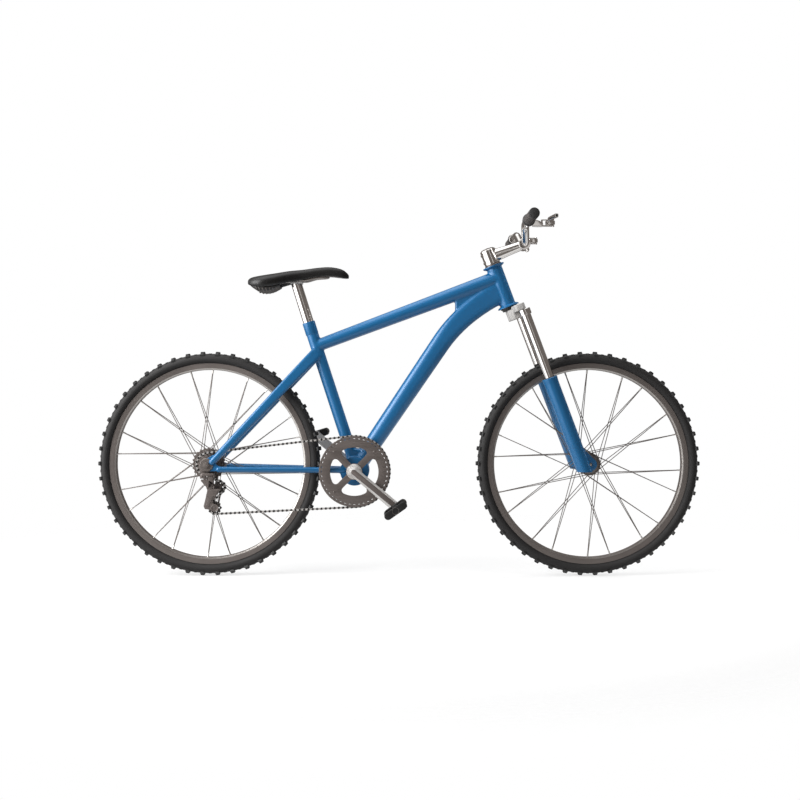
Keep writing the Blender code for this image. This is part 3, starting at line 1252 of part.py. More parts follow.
def make_grip(side, way):
    outer, inner = BAR_HALF_WIDTH, BAR_HALF_WIDTH - GRIP_LENGTH
    step = inner + GRIP_FLANGE_THICKNESS
    profile = [(0, outer), (GRIP_RADIUS, outer), (GRIP_RADIUS, step), (GRIP_FLANGE_RADIUS, step),
               (GRIP_FLANGE_RADIUS, inner), (BAR_BORE, inner), (BAR_BORE, outer - GRIP_END),
               (0, outer - GRIP_END)]
    turned(f"grip_{side}", flipped(way, profile), SPINDLE_SIDES, grip_line, GRIP_RUBBER, ring=False)


def make_lever(side, way):
    """Bar clamp with its forked arm and pin, and the blade that swings on the pin."""
    half = LEVER_CLAMP_WIDTH / 2
    low, high = span(way, LEVER_CLAMP_OFFSET - half, LEVER_CLAMP_OFFSET + half)
    clamp = cylinder(f"lever_clamp_{side}", BAR_RADIUS + 5 * mm, low, high, SPINDLE_SIDES,
                     grip_line, GREY_METAL)
    slot = LEVER_HEIGHT / 2 + GAP
    ear = slot + 3 * mm
    drop = -LEVER_DROP
    arm = block(f"lever_arm_{side}", (BAR_RADIUS, drop - ear, low + 1 * mm),
                (LEVER_REACH + 6 * mm, drop + ear, high - 1 * mm), grip_line)
    fork = block(f"lever_fork_{side}", (LEVER_REACH - 15 * mm, drop - slot, low - half),
                 (LEVER_REACH + 15 * mm, drop + slot, high + half), grip_line)
    bore = cylinder(f"lever_clamp_bore_{side}", BAR_BORE, low - mm, high + mm, SPINDLE_SIDES,
                    grip_line)
    place = GRIP_CENTRE + Vector((LEVER_REACH, -way * LEVER_CLAMP_OFFSET, -LEVER_DROP))
    line = axis_empty(f"lever_{side}_line", place)
    pin = cylinder(f"lever_pin_{side}", LEVER_PIN_RADIUS, -ear + 1 * mm, ear - 1 * mm, 8, line)
    fuse(cut(fuse(clamp, arm), fork, bore), pin)
    thick = LEVER_THICKNESS / 2
    near, far = span(-way, -thick - 2 * mm, LEVER_LENGTH)
    blade = block(f"brake_lever_{side}", (-thick, near, -LEVER_HEIGHT / 2),
                  (thick, far, LEVER_HEIGHT / 2), line, CHROME, bevel=1 * mm)
    cut(blade, cylinder(f"lever_eye_{side}", around(LEVER_PIN_RADIUS, 8), -LEVER_HEIGHT,
                        LEVER_HEIGHT, 8, line))


make_headset()
make_stem()
make_handlebar()
for side, (way, angle, tilt) in CRANK_PLACES.items():
    make_grip(side, way)
    make_lever(side, way)


# Seatpost and saddle
POST_LEVEL = POST_TOP.z + 0.2 * mm
CLAMP_LOW = POST_LEVEL + GAP
CLAMP_HIGH = CLAMP_LOW + SADDLE_CLAMP_HEIGHT
RAIL_LEVEL = POST_TOP.z + RAIL_ABOVE_POST
UNDERSIDE = ((0, 1), (0.4, 0.974), (0.78, 0.63))
CROWN_SHAPE = ((0.9, 0), (1, 0.45), (0.8, 0.8), (0.42, 0.96))


def saddle_station(forward, width, *heights):
    """A station drawn in millimetres for a saddle 297 long, 150 wide and 51.5 high, at its real size."""
    return (forward / 297 * SADDLE_LENGTH, width / 150 * SADDLE_WIDTH,
            *(height / 51.5 * SADDLE_HEIGHT for height in heights))


# Saddle stations: forwards of the post head, half width, top, skirt edge, rise of the underside
SADDLE_STATIONS = [saddle_station(*row) for row in (
    (-140, 40, 22, 4, 3),
    (-128, 60, 28, -6, 20),
    (-96, 75, 34, -17, 32),
    (-60, 66, 38, -12, 32),
    (-20, 46, 42, -1, 25),
    (20, 32, 45, 9, 17),
    (60, 26, 49, 18, 10),
    (100, 23, 51.5, 21, 8),
    (135, 19, 45, 17, 8),
    (152, 12, 33, 16, 5),
    (157, 6, 26, 18, 2),
)]


def underside(station, share):
    """Height of the cover's hollow underside at a share of a station's half width."""
    forward, width, top, skirt, rise = station
    for (low, near), (high, far) in zip(UNDERSIDE, UNDERSIDE[1:]):
        if share <= high:
            return skirt + rise * (near + (far - near) * (share - low) / (high - low))
    return skirt


def shell_bottom(forward, spread):
    """Height above the post head of the shell's lower face."""
    for near, far in zip(SADDLE_STATIONS, SADDLE_STATIONS[1:]):
        if forward <= far[0]:
            break
    heights = [underside(station, spread / station[1]) for station in (near, far)]
    share = (forward - near[0]) / (far[0] - near[0])
    height = heights[0] + share * (heights[1] - heights[0])
    return height - SADDLE_SEAT_GAP - SADDLE_SHELL_THICKNESS


def make_cover():
    """The padded cover: a crowned top over bulging sides, drawn in at the skirt, and hollow below."""
    rings = []
    for station in SADDLE_STATIONS:
        forward, width, top, skirt, rise = station
        half = [(width * out, skirt + (top - skirt) * up) for out, up in CROWN_SHAPE]
        over = half + [(0, top)] + [(-y, z) for y, z in reversed(half)]
        shares = [share for share, _ in reversed(UNDERSIDE)]
        under = [(-width * share, underside(station, share)) for share in shares]
        under += [(-y, z) for y, z in reversed(under[:-1])]
        rings.append([POST_TOP + Vector((forward, y, z)) for y, z in over + under])
    return loft("saddle_cover", rings, finish=SADDLE_LEATHER)


def make_shell():
    rings = []
    for station in SADDLE_STATIONS[1:-2]:
        forward, width = station[:2]
        half = [(width * share, underside(station, share) - SADDLE_SEAT_GAP)
                for share, _ in UNDERSIDE]
        upper = [(-y, z) for y, z in reversed(half)] + half[1:]
        lower = [(y, z - SADDLE_SHELL_THICKNESS) for y, z in reversed(upper)]
        rings.append([POST_TOP + Vector((forward, y, z)) for y, z in upper + lower])
    return loft("saddle_shell", rings, finish=BLACK_PLASTIC)


def make_rails():
    """One wire: under the rear of the shell, through the clamp, round under the nose and back."""
    held = SADDLE_CLAMP_LENGTH / 2 + 3 * mm
    seat = -SADDLE_SEAT_GAP - RAIL_RADIUS
    nose, spread = RAIL_NOSE_REACH, RAIL_NOSE_SPREAD

    def under_shell(forward, offset):
        return shell_bottom(forward, offset + RAIL_RADIUS) + seat

    half = [(-RAIL_REAR_REACH, RAIL_REAR_SPREAD, under_shell(-RAIL_REAR_REACH, RAIL_REAR_SPREAD)),
            (-held, RAIL_SPREAD, RAIL_ABOVE_POST), (held, RAIL_SPREAD, RAIL_ABOVE_POST),
            (RAIL_RISE_REACH, RAIL_RISE_SPREAD, RAIL_RISE_HEIGHT),
            (nose - spread, spread, under_shell(nose - spread, spread)),
            (nose, 0.375 * spread, under_shell(nose, spread))]
    points = half + [(x, -y, z) for x, y, z in reversed(half)]
    bent_bar("saddle_rails", [POST_TOP + Vector(point) for point in points], RAIL_RADIUS, 1,
             finish=GREY_METAL)


def make_seatpost():
    inner = SEATPOST_RADIUS - SEATPOST_WALL
    post = tube("seatpost", SEATPOST_RADIUS, inner, -SEATPOST_INSERTION,
                SEATPOST_EXPOSED + 10 * mm, TUBE_SIDES, seat_line, CHROME)
    reach = 30 * mm
    cut(post, block("post_head_cut", (POST_TOP.x - reach, -reach, POST_LEVEL),
                    (POST_TOP.x + reach, reach, POST_LEVEL + reach)))
    half, wide = SADDLE_CLAMP_LENGTH / 2, SADDLE_CLAMP_HALF_WIDTH
    clamp = block("saddle_clamp", (POST_TOP.x - half, -wide, CLAMP_LOW),
                  (POST_TOP.x + half, wide, CLAMP_HIGH), finish=GREY_METAL)
    spigot = cylinder("clamp_spigot", inner - GAP, SEATPOST_EXPOSED - 22 * mm,
                      SEATPOST_EXPOSED + 5 * mm, TUBE_SIDES, seat_line)
    fuse(clamp, spigot)
    for way in (-1, 1):
        cut(clamp, rod(f"rail_hole_{way}", (POST_TOP.x - 2 * half, way * RAIL_SPREAD, RAIL_LEVEL),
                       (POST_TOP.x + 2 * half, way * RAIL_SPREAD, RAIL_LEVEL),
                       around(RAIL_RADIUS, 8), 8))


make_seatpost()
make_rails()
make_shell()
make_cover()


# Rear derailleur
LINK_X = REAR_AXLE.x + LINK_FORWARD
LINK_TOP = REAR_AXLE.z - LINK_PIN_DROP
LINK_BOTTOM = LINK_TOP - LINK_LENGTH
LINK_LINES = {"outer": LINK_LINE, "inner": LINK_LINE - LINK_SPACING}
EAR_NEAR = LINK_X - LINK_WIDTH / 2 - GAP - EAR_THICKNESS
EAR_FAR = LINK_X + LINK_WIDTH / 2 + GAP
EAR_HALF_HEIGHT = 6 * mm
EAR_INNER = LINK_LINES["inner"] - LINK_EYE_RADIUS - 0.5 * mm
EAR_OUTER = LINK_LINE + LINK_EYE_RADIUS + 0.6 * mm
PLATE_INNER = CHAIN_LINE + CAGE_INNER_WIDTH / 2
PLATE_OUTER = PLATE_INNER + CAGE_PLATE_THICKNESS
KNUCKLE_INNER = PLATE_OUTER + 0.4 * mm
KNUCKLE_BOSS_RADIUS = 8 * mm
KNUCKLE_BOSS_LENGTH = 9.4 * mm
BOLT_SIDES = 8
PULLEY_TIP = 1.2 * mm
FRONT_VIEW = (math.pi / 2, 0, math.pi / 2)
link_line = axis_empty("link_line", (LINK_X, 0, LINK_TOP), FRONT_VIEW)


def ears(name, low, high, outer):
    """The two upright lugs in front of and behind the links."""
    made = []
    for start in (EAR_NEAR, EAR_FAR):
        made.append(block(f"{name}_ear{len(made)}", (start, -outer, low),
                          (start + EAR_THICKNESS, -EAR_INNER, high)))
    return made


def link_pins(name, level):
    made = []
    for which, offset in LINK_LINES.items():
        made.append(rod(f"{name}_{which}_pin", (EAR_NEAR + 1 * mm, -offset, level),
                        (EAR_FAR + EAR_THICKNESS - 1 * mm, -offset, level), LINK_PIN_RADIUS, 6))
    return made


def make_derailleur_body():
    """Bolted to the frame's hanger; a bar outside the outer link carries the upper link pins."""
    place = REAR_AXLE + Vector((-HANGER_BACK, 0, -HANGER_DROP))
    seat = DROPOUT_OUTER + GAP
    outer = EAR_OUTER + EAR_THICKNESS
    body = rod("derailleur_body", (place.x, -seat, place.z), (place.x, -outer, place.z),
               HANGER_BOSS_RADIUS, SPINDLE_SIDES, finish=GREY_METAL)
    bolt = rod("hanger_bolt", (place.x, -seat - 1 * mm, place.z),
               (place.x, -DROPOUT_INNER, place.z), HANGER_BOLT_RADIUS, BOLT_SIDES)
    bar = block("derailleur_bar", (place.x, -outer, LINK_TOP + 0.5 * mm),
                (EAR_FAR + EAR_THICKNESS, -EAR_OUTER, LINK_TOP + EAR_HALF_HEIGHT))
    lugs = ears("body", LINK_TOP - EAR_HALF_HEIGHT + 1 * mm, LINK_TOP + EAR_HALF_HEIGHT,
                EAR_OUTER + 1 * mm)
    fuse(body, bolt, bar, *lugs, *link_pins("body", LINK_TOP))


def make_link(which, offset):
    outline = link_outline((-offset, 0), LINK_EYE_RADIUS, (-offset, -LINK_LENGTH), LINK_EYE_RADIUS, 4)
    holes = [circle(-offset, level, around(LINK_PIN_RADIUS, 6), 6) for level in (0, -LINK_LENGTH)]
    plate(f"derailleur_{which}_link", [outline] + holes, -LINK_WIDTH / 2, LINK_WIDTH / 2, link_line,
          GREY_METAL)


def make_knuckle():
    """Hangs on the lower link pins and holds the cage bolt at the guide pulley."""
    x, z = GUIDE_CENTRE
    floor = LINK_BOTTOM - LINK_EYE_RADIUS - 0.5 * mm
    knuckle = block("derailleur_knuckle", (EAR_NEAR, -EAR_OUTER, floor - 7 * mm),
                    (x + KNUCKLE_BOSS_RADIUS, -KNUCKLE_INNER, floor), finish=GREY_METAL)
    boss = rod("cage_boss", (x, -KNUCKLE_INNER, z), (x, -KNUCKLE_INNER - KNUCKLE_BOSS_LENGTH, z),
               KNUCKLE_BOSS_RADIUS, SPINDLE_SIDES)
    bore = rod("cage_bolt_bore", (x, -KNUCKLE_INNER + mm, z),
               (x, -KNUCKLE_INNER - KNUCKLE_BOSS_LENGTH + 0.7 * mm, z),
               around(PULLEY_BOLT_RADIUS, BOLT_SIDES), BOLT_SIDES)
    lugs = ears("knuckle", floor - 2 * mm, LINK_BOTTOM + EAR_HALF_HEIGHT - 1 * mm, EAR_OUTER)
    cut(fuse(knuckle, boss, *lugs, *link_pins("knuckle", LINK_BOTTOM)), bore)


def make_cage():
    """The pressed outer plate with both pulley bolts, and the inner plate that they pass through."""
    gx, gz = GUIDE_CENTRE
    tip = 9 * mm
    outline = [(gx + 13.5 * mm, gz + 11 * mm), (gx - 28.5 * mm, gz + 9 * mm),
               (gx - 44.5 * mm, gz - 56 * mm), (gx - 41 * mm, gz - 62 * mm),
               (gx - 29.5 * mm, gz - 65 * mm)]
    for turn in range(-120, 71, 38):
        outline.append((TENSION_CENTRE.x + tip * math.cos(math.radians(turn)),
                        TENSION_CENTRE.y + tip * math.sin(math.radians(turn))))
    outline += [(gx - 19.5 * mm, gz - 36 * mm), (gx + 2.5 * mm, gz - 6 * mm)]
    outer = plate("cage_outer_plate", [outline], PLATE_INNER, PLATE_OUTER, side_plane, GREY_METAL)
    far = 2 * CHAIN_LINE - PLATE_OUTER
    reach = KNUCKLE_INNER + KNUCKLE_BOSS_LENGTH - 1 * mm
    for (x, z), end in ((GUIDE_CENTRE, reach), (TENSION_CENTRE, PLATE_OUTER + 2 * mm)):
        fuse(outer, rod(f"pulley_bolt_{round(end / mm)}", (x, -far + 1 * mm, z), (x, -end, z),
                        PULLEY_BOLT_RADIUS, BOLT_SIDES))
    holes = [circle(x, z, around(PULLEY_BOLT_RADIUS, BOLT_SIDES), BOLT_SIDES)
             for x, z in (GUIDE_CENTRE, TENSION_CENTRE)]
    plate("cage_inner_plate", [link_outline(GUIDE_CENTRE, tip, TENSION_CENTRE, tip, 4)] + holes,
          far, far + CAGE_PLATE_THICKNESS, side_plane, GREY_METAL)


def make_pulley(name, centre):
    line = axis_empty(name + "_line", (centre.x, 0, centre.y), SIDE_VIEW)
    pitch = pitch_radius(PULLEY_TEETH)
    bore = around(PULLEY_BOLT_RADIUS, BOLT_SIDES)
    pulley = plate(name, [toothed(PULLEY_TEETH, pitch - TOOTH_ROOT, pitch + PULLEY_TIP),
                          circle(0, 0, bore + 2 * mm, BOLT_SIDES)],
                   CHAIN_LINE - TOOTH_THICKNESS / 2, CHAIN_LINE + TOOTH_THICKNESS / 2, line,
                   BLACK_PLASTIC)
    half = CAGE_INNER_WIDTH / 2 - GAP
    fuse(pulley, tube(name + "_hub", bore + 4 * mm, bore, CHAIN_LINE - half, CHAIN_LINE + half,
                      BOLT_SIDES, line))


make_derailleur_body()
for which, offset in LINK_LINES.items():
    make_link(which, offset)
make_knuckle()
make_cage()
make_pulley("guide_pulley", GUIDE_CENTRE)
make_pulley("tension_pulley", TENSION_CENTRE)
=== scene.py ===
"""The visible surfaces of a hardtail bicycle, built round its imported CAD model.

World axes: +X is the riding direction, +Z is up and the drive side is at -Y. Places are in metres;
outlines, profiles, radii and edges are in millimetres.
"""
import json
import math

import bmesh
import bpy
from mathutils import Matrix, Vector
from mathutils.bvhtree import BVHTree


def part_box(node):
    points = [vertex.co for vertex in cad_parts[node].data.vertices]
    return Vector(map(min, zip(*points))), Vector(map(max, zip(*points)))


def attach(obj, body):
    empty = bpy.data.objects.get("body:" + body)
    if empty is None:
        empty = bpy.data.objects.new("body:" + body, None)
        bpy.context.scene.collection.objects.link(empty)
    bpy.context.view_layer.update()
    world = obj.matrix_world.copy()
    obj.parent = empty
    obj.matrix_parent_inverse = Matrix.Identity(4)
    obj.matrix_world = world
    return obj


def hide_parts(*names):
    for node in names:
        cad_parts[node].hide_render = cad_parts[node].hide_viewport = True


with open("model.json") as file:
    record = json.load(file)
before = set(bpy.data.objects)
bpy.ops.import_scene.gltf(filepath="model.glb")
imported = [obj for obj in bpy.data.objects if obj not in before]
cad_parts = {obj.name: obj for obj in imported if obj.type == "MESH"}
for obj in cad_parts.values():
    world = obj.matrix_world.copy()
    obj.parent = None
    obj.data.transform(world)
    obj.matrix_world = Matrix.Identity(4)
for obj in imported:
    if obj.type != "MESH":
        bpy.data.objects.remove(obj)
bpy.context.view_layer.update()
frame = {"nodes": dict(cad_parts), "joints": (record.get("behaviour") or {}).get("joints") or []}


# Frame. Steel tubes welded head to tail: a tapered top tube, a bowed down tube that swells towards
# the head tube with a web above it, and slim stays that end in flat drop-outs. The welds are filed
# smooth and the whole is sprayed blue under a clear lacquer.
mm = 0.001
ROUND = 2 * math.pi
UP = Vector((0, 0, 1))
ACROSS = Vector((0, -1, 0))
JOINTS = {joint["name"]: joint for joint in frame["joints"]}


def joint_place(name):
    return Vector(JOINTS[name]["pos_m"])


def step(x, y=0, z=0):
    """A step from one place to another, given in millimetres."""
    return Vector((x, y, z)) * mm


def polar(radius, turn, x=0, y=0):
    return x + radius * math.cos(turn), y + radius * math.sin(turn)


def in_plane(angle):
    """A direction in the bicycle's middle plane, at an angle up from forwards."""
    return Vector((math.cos(angle), 0, math.sin(angle)))


def flat(places):
    """The side view of some places, as points of an outline."""
    return [(place.x / mm, place.z / mm) for place in places]


BOTTOM_BRACKET = joint_place("crank_spin")
REAR_AXLE = joint_place("rear_wheel_spin")
FRONT_AXLE = joint_place("front_wheel_spin")
HEAD = joint_place("steering_turn")
STEER_UP = Vector(JOINTS["steering_turn"]["axis"]).normalized()
STEER_FORWARD = Vector((STEER_UP.z, 0, -STEER_UP.x))
HEAD_TOP = HEAD + 131.5 * mm * STEER_UP
SEAT_UP = in_plane(math.radians(107.4))
SEAT_TOP = BOTTOM_BRACKET + 465 * mm * SEAT_UP
TOP_TUBE = (SEAT_TOP - 75 * mm * SEAT_UP, HEAD + 92.6 * mm * STEER_UP)
DOWN_TUBE_SLOPE = in_plane(math.radians(56))
DOWN_TUBE_BEND = BOTTOM_BRACKET + 458 * mm * DOWN_TUBE_SLOPE
DOWN_TUBE_FRONT = HEAD + 52 * mm * STEER_UP
DOWN_TUBE_ENTRY = in_plane(math.radians(27))
STAY_SPREAD = 73
CHAINSTAY_RADIUS = 8.6
CHAINSTAY_BENDS = ((0, 28), (0.225, 31.5), (0.37, 40), (0.62, 53.5), (1, STAY_SPREAD))
SEATSTAY_BENDS = ((0, STAY_SPREAD), (0.28, 60.7), (0.55, 48), (0.78, 36), (0.9, 26), (1, 11))
DOME = ((0.35, 0.94), (0.65, 0.76), (0.86, 0.51), (0.97, 0.24), (1, 0.08))
DROPOUT_INNER = 67.5
DROPOUT_THICKNESS = 6
AXLE_HOLE = 5.3
VOXEL = 2.4
WELD_START, WELD_WIDTH = 3, 6


def as_mesh(verts, faces):
    mesh = bpy.data.meshes.new("shape")
    mesh.from_pydata([tuple(vert) for vert in verts], [], faces)
    return mesh


def loft(rings):
    """A closed skin over rings of as many points each."""
    verts = [point for ring in rings for point in ring]
    count = len(rings[0])
    faces = []
    for near in range(0, len(verts) - count, count):
        for n in range(count):
            m = (n + 1) % count
            faces.append((near + n, near + m, near + count + m, near + count + n))
    faces += [tuple(range(count))[::-1], tuple(range(len(verts) - count, len(verts)))]
    return as_mesh(verts, faces)


def ring(centre, tall, wide, count=48, square=2):
    """Points round an ellipse, or round a squarer figure where square is over 2."""
    points = []
    for n in range(count):
        c, s = polar(1, ROUND * n / count)
        points.append(centre + tall * math.copysign(abs(c) ** (2 / square), c)
                      + wide * math.copysign(abs(s) ** (2 / square), s))
    return points


def circle(x, y, radius, count=32):
    return [polar(radius, ROUND * n / count, x, y) for n in range(count)]


def eased(corners, steps=5):
    """An outline with an arc at each (x, y, radius) corner."""
    outline = []
    for n, (x, y, radius) in enumerate(corners):
        here = Vector((x, y))
        before = (Vector(corners[n - 1][:2]) - here).normalized()
        after = (Vector(corners[(n + 1) % len(corners)][:2]) - here).normalized()
        half = before.angle(after) / 2
        middle = here + (before + after).normalized() * radius / math.sin(half)
        first = here + before * radius / math.tan(half) - middle
        end = here + after * radius / math.tan(half) - middle
        start = math.atan2(first.y, first.x)
        sweep = (math.atan2(end.y, end.x) - start + math.pi) % ROUND - math.pi
        outline += [polar(radius, start + sweep * k / steps, *middle) for k in range(steps + 1)]
    return outline


def turned(profile, centre, axis=ACROSS, steps=96):
    """A turned shape from (radius, distance along the axis) points; off the axis it is a ring."""
    axis = Vector(axis).normalized()
    side = axis.orthogonal().normalized()
    other = axis.cross(side)
    verts, rows, faces = [], [], []
    for radius, along in profile:
        count = steps if radius else 1
        rows.append([len(verts) + n for n in range(count)])
        spots = (polar(radius * mm, ROUND * n / steps) for n in range(count))
        verts += [centre + axis * along * mm + side * c + other * s for c, s in spots]
    for near, far in zip(rows, rows[1:] + ([rows[0]] if profile[0][0] else [])):
        for n in range(steps):
            m = (n + 1) % steps
            face = tuple(dict.fromkeys((near[n % len(near)], near[m % len(near)], far[m % len(far)],
                                        far[n % len(far)])))
            if len(face) > 2:
                faces.append(face)
    return as_mesh(verts, faces)


def swept(points, radii, sides=32):
    """A round bar along a line of points, with one radius or a radius at each point."""
    points = [Vector(point) for point in points]
    radii = radii if isinstance(radii, list) else [radii] * len(points)
    rings, normal = [], None
    for n, here in enumerate(points):
        along = (points[min(n + 1, len(points) - 1)] - points[max(n - 1, 0)]).normalized()
        normal = along.orthogonal() if normal is None else normal - along * normal.dot(along)
        normal.normalize()
        rings.append(ring(here, normal * radii[n] * mm, along.cross(normal) * radii[n] * mm, sides))
    return loft(rings)


def curved(points, steps=6):
    """A smooth line through points, with a few steps between each two."""
    points = [Vector(point) for point in points]
    line = []
    for n in range(len(points) - 1):
        a, b = points[max(n - 1, 0)], points[n]
        c, d = points[n + 1], points[min(n + 2, len(points) - 1)]
        for t in (k / steps for k in range(steps)):
            line.append(0.5 * (2 * b + (c - a) * t + (2 * a - 5 * b + 4 * c - d) * t ** 2
                               + (3 * b - a - 3 * c + d) * t ** 3))
    return line + [points[-1]]


def plain_mesh(made):
    """The finished mesh of an object with curves or modifiers; the object itself goes."""
    bpy.context.view_layer.update()
    seen = made.evaluated_get(bpy.context.evaluated_depsgraph_get())
    mesh = bpy.data.meshes.new_from_object(seen)
    bpy.data.objects.remove(made, do_unlink=True)
    return mesh


def linked(data, name="shape"):
    made = bpy.data.objects.new(name, data)
    bpy.context.scene.collection.objects.link(made)
    return made


def side_on(centre, angle=0):
    """Stands a drawing up in the side view: x forwards, y upwards and z out to the drive side."""
    return (Matrix.Translation(centre) @ Matrix.Rotation(-angle, 4, "Y")
            @ Matrix.Rotation(math.pi / 2, 4, "X"))


def plate(outlines, low, high, place, edge=0.0, arc=2):
    """A flat piece with rounded edges: the first outline is its edge and the others its holes."""
    curve = bpy.data.curves.new("outline", "CURVE")
    curve.dimensions = "2D"
    curve.fill_mode = "BOTH"
    curve.extrude = (abs(high - low) / 2 - edge) * mm
    curve.bevel_depth = edge * mm
    curve.bevel_resolution = arc
    curve.offset = -edge * mm
    for outline in outlines:
        spline = curve.splines.new("POLY")
        spline.points.add(len(outline) - 1)
        for point, (x, y) in zip(spline.points, outline):
            point.co = (x * mm, y * mm, 0, 1)
        spline.use_cyclic_u = True
    mesh = plain_mesh(linked(curve))
    mesh.transform(place @ Matrix.Translation((0, 0, (low + high) / 2 * mm)))
    return mesh


def joined(shapes):
    work = bmesh.new()
    for shape in shapes:
        work.from_mesh(shape)
    bmesh.ops.remove_doubles(work, verts=work.verts, dist=1e-6)
    bmesh.ops.recalc_face_normals(work, faces=work.faces)
    mesh = bpy.data.meshes.new("shape")
    work.to_mesh(mesh)
    work.free()
    return mesh


def fitted(name, shapes, finish, body, stands_for=(), crease=38):
    """Joins shapes into one piece of the bicycle that moves with its body."""
    mesh = joined(shapes)
    mesh.name = name
    mesh.materials.append(finish)
    mesh.polygons.foreach_set("use_smooth", [True] * len(mesh.polygons))
    mesh.set_sharp_from_angle(angle=math.radians(crease))
    made = linked(mesh, name)
    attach(made, body)
    if stands_for:
        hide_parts(*stands_for)
    return made


def node(tree, kind, inputs=(), **settings):
    """Adds a node with its settings; each of its inputs gets a value or another node's output."""
    made = tree.nodes.new(kind)
    for name, value in settings.items():
        setattr(made, name, value)
    for name, source in dict(inputs).items():
        if isinstance(source, bpy.types.NodeSocket):
            tree.links.new(source, made.inputs[name])
        else:
            made.inputs[name].default_value = source
    return made


def finish(name, colour, roughness, metallic=0.0, grain=0.1, size=900, uneven=0.12, more=()):
    """A surface whose colour and gloss vary a little, with a fine grain in its relief."""
    made = bpy.data.materials.new(name)
    made.use_nodes = True
    tree = made.node_tree
    shader = tree.nodes["Principled BSDF"]
    for socket, value in {"Metallic": metallic, **dict(more)}.items():
        shader.inputs[socket].default_value = value
    place = node(tree, "ShaderNodeTexCoord").outputs["Object"]
    cloud = node(tree, "ShaderNodeTexNoise", {"Vector": place, "Scale": 14, "Detail": 6}).outputs["Fac"]
    dark, light = ((*[min(1, part * share) for part in colour], 1) for share in (1 - uneven, 1 + uneven))
    shade = node(tree, "ShaderNodeMix", {"Factor": cloud, 6: dark, 7: light}, data_type="RGBA")
    gloss = node(tree, "ShaderNodeMapRange", {"Value": cloud, "To Min": roughness * 0.8,
                                              "To Max": min(1, roughness * 1.25)})
    fine = node(tree, "ShaderNodeTexNoise", {"Vector": place, "Scale": size, "Detail": 3})
    relief = node(tree, "ShaderNodeBump", {"Strength": grain, "Distance": 0.3 * mm,
                                           "Height": fine.outputs["Fac"]})
    tree.links.new(shade.outputs[2], shader.inputs["Base Color"])
    tree.links.new(gloss.outputs["Result"], shader.inputs["Roughness"])
    tree.links.new(relief.outputs["Normal"], shader.inputs["Normal"])
    return made


BLUE_LACQUER = finish("blue_lacquer", (0.0012, 0.124, 0.312), 0.4, 0.1, grain=0.03, size=2600, uneven=0.06,
                      more={"Specular IOR Level": 0.3, "Coat Weight": 0.7, "Coat Roughness": 0.32})


def section(centre, along, half_height, half_width, square=2):
    upright = Vector((-along.z, 0, along.x)).normalized()
    return ring(centre, upright * half_height * mm, step(0, half_width), 64, square)


def down_tube_bend(share):
    """Centre and direction of the bowed part, from its start to the head tube."""
    gap = DOWN_TUBE_FRONT - DOWN_TUBE_BEND
    slope, entry = DOWN_TUBE_SLOPE, DOWN_TUBE_ENTRY
    reach = (gap.x * entry.z - gap.z * entry.x) / (slope.x * entry.z - slope.z * entry.x)
    corner = DOWN_TUBE_BEND + reach * slope
    first, last = DOWN_TUBE_BEND.lerp(corner, share), corner.lerp(DOWN_TUBE_FRONT, share)
    return first.lerp(last, share), (last - first).normalized()


def down_tube():
    rings = []
    for share in (k / 20 for k in range(20)):
        rings.append(section(BOTTOM_BRACKET.lerp(DOWN_TUBE_BEND, share), DOWN_TUBE_SLOPE,
                             24.5 + 4.5 * share, 24.5 - 0.5 * share, 2 + 0.6 * share))
    for share in (k / 12 for k in range(13)):
        rings.append(section(*down_tube_bend(share), 29 + 5 * share, 24 - 5 * share, 2.6 + 2 * share))
    return loft(rings)


def web():
    """The thin wall between the bowed tube and the top tube."""
    low, _ = down_tube_bend(0.3)
    along = TOP_TUBE[1] - TOP_TUBE[0]
    high = TOP_TUBE[0] + along * (low.x - TOP_TUBE[0].x) / along.x
    return plate([flat((low, DOWN_TUBE_FRONT, TOP_TUBE[1], high))], -13, 13, side_on(Vector()), 5, 4)


def shell_gusset():
    """The thick wall in the corner between the seat tube and the down tube."""
    reaches = ((DOWN_TUBE_SLOPE, 20), (DOWN_TUBE_SLOPE, 74), (SEAT_UP, 74), (SEAT_UP, 20))
    corners = flat([reach * mm * way for way, reach in reaches])
    return plate([corners], -17, 17, side_on(BOTTOM_BRACKET), 8, 4)


def stays(side):
    """A chainstay and a seat stay, each with a domed end that is brazed to the drop-out."""
    start, end = BOTTOM_BRACKET + step(-28, 0, 2), REAR_AXLE + step(36, 0, -13)
    line = curved([start.lerp(end, share) + step(0, side * out) for share, out in CHAINSTAY_BENDS])
    radii = [CHAINSTAY_RADIUS] * len(line)
    tip, last = line[-1], (line[-1] - line[-2]).normalized()
    for reach, share in DOME:
        line.append(tip + last * reach * CHAINSTAY_RADIUS * mm)
        radii.append(share * CHAINSTAY_RADIUS)
    start, end = REAR_AXLE + step(17, 0, 9), SEAT_TOP - 93 * mm * SEAT_UP
    along = (end - start).normalized()
    rings = [section(start.lerp(end, share) + step(0, side * out), along, 10 + 7 * share, 10, 2 + 3 * share)
             for share, out in SEATSTAY_BENDS]
    fine = list(zip(*[curved(column) for column in zip(*rings)]))
    tip = start + step(0, side * STAY_SPREAD)
    domed = [section(tip - along * reach * 10 * mm, along, 10 * share, 10 * share)
             for reach, share in reversed(DOME)]
    return [swept(line, radii), loft(domed + fine)]


def smoothed(body, name, factor, rounds):
    filing = body.modifiers.new(name, "SMOOTH")
    filing.factor, filing.iterations = factor, rounds


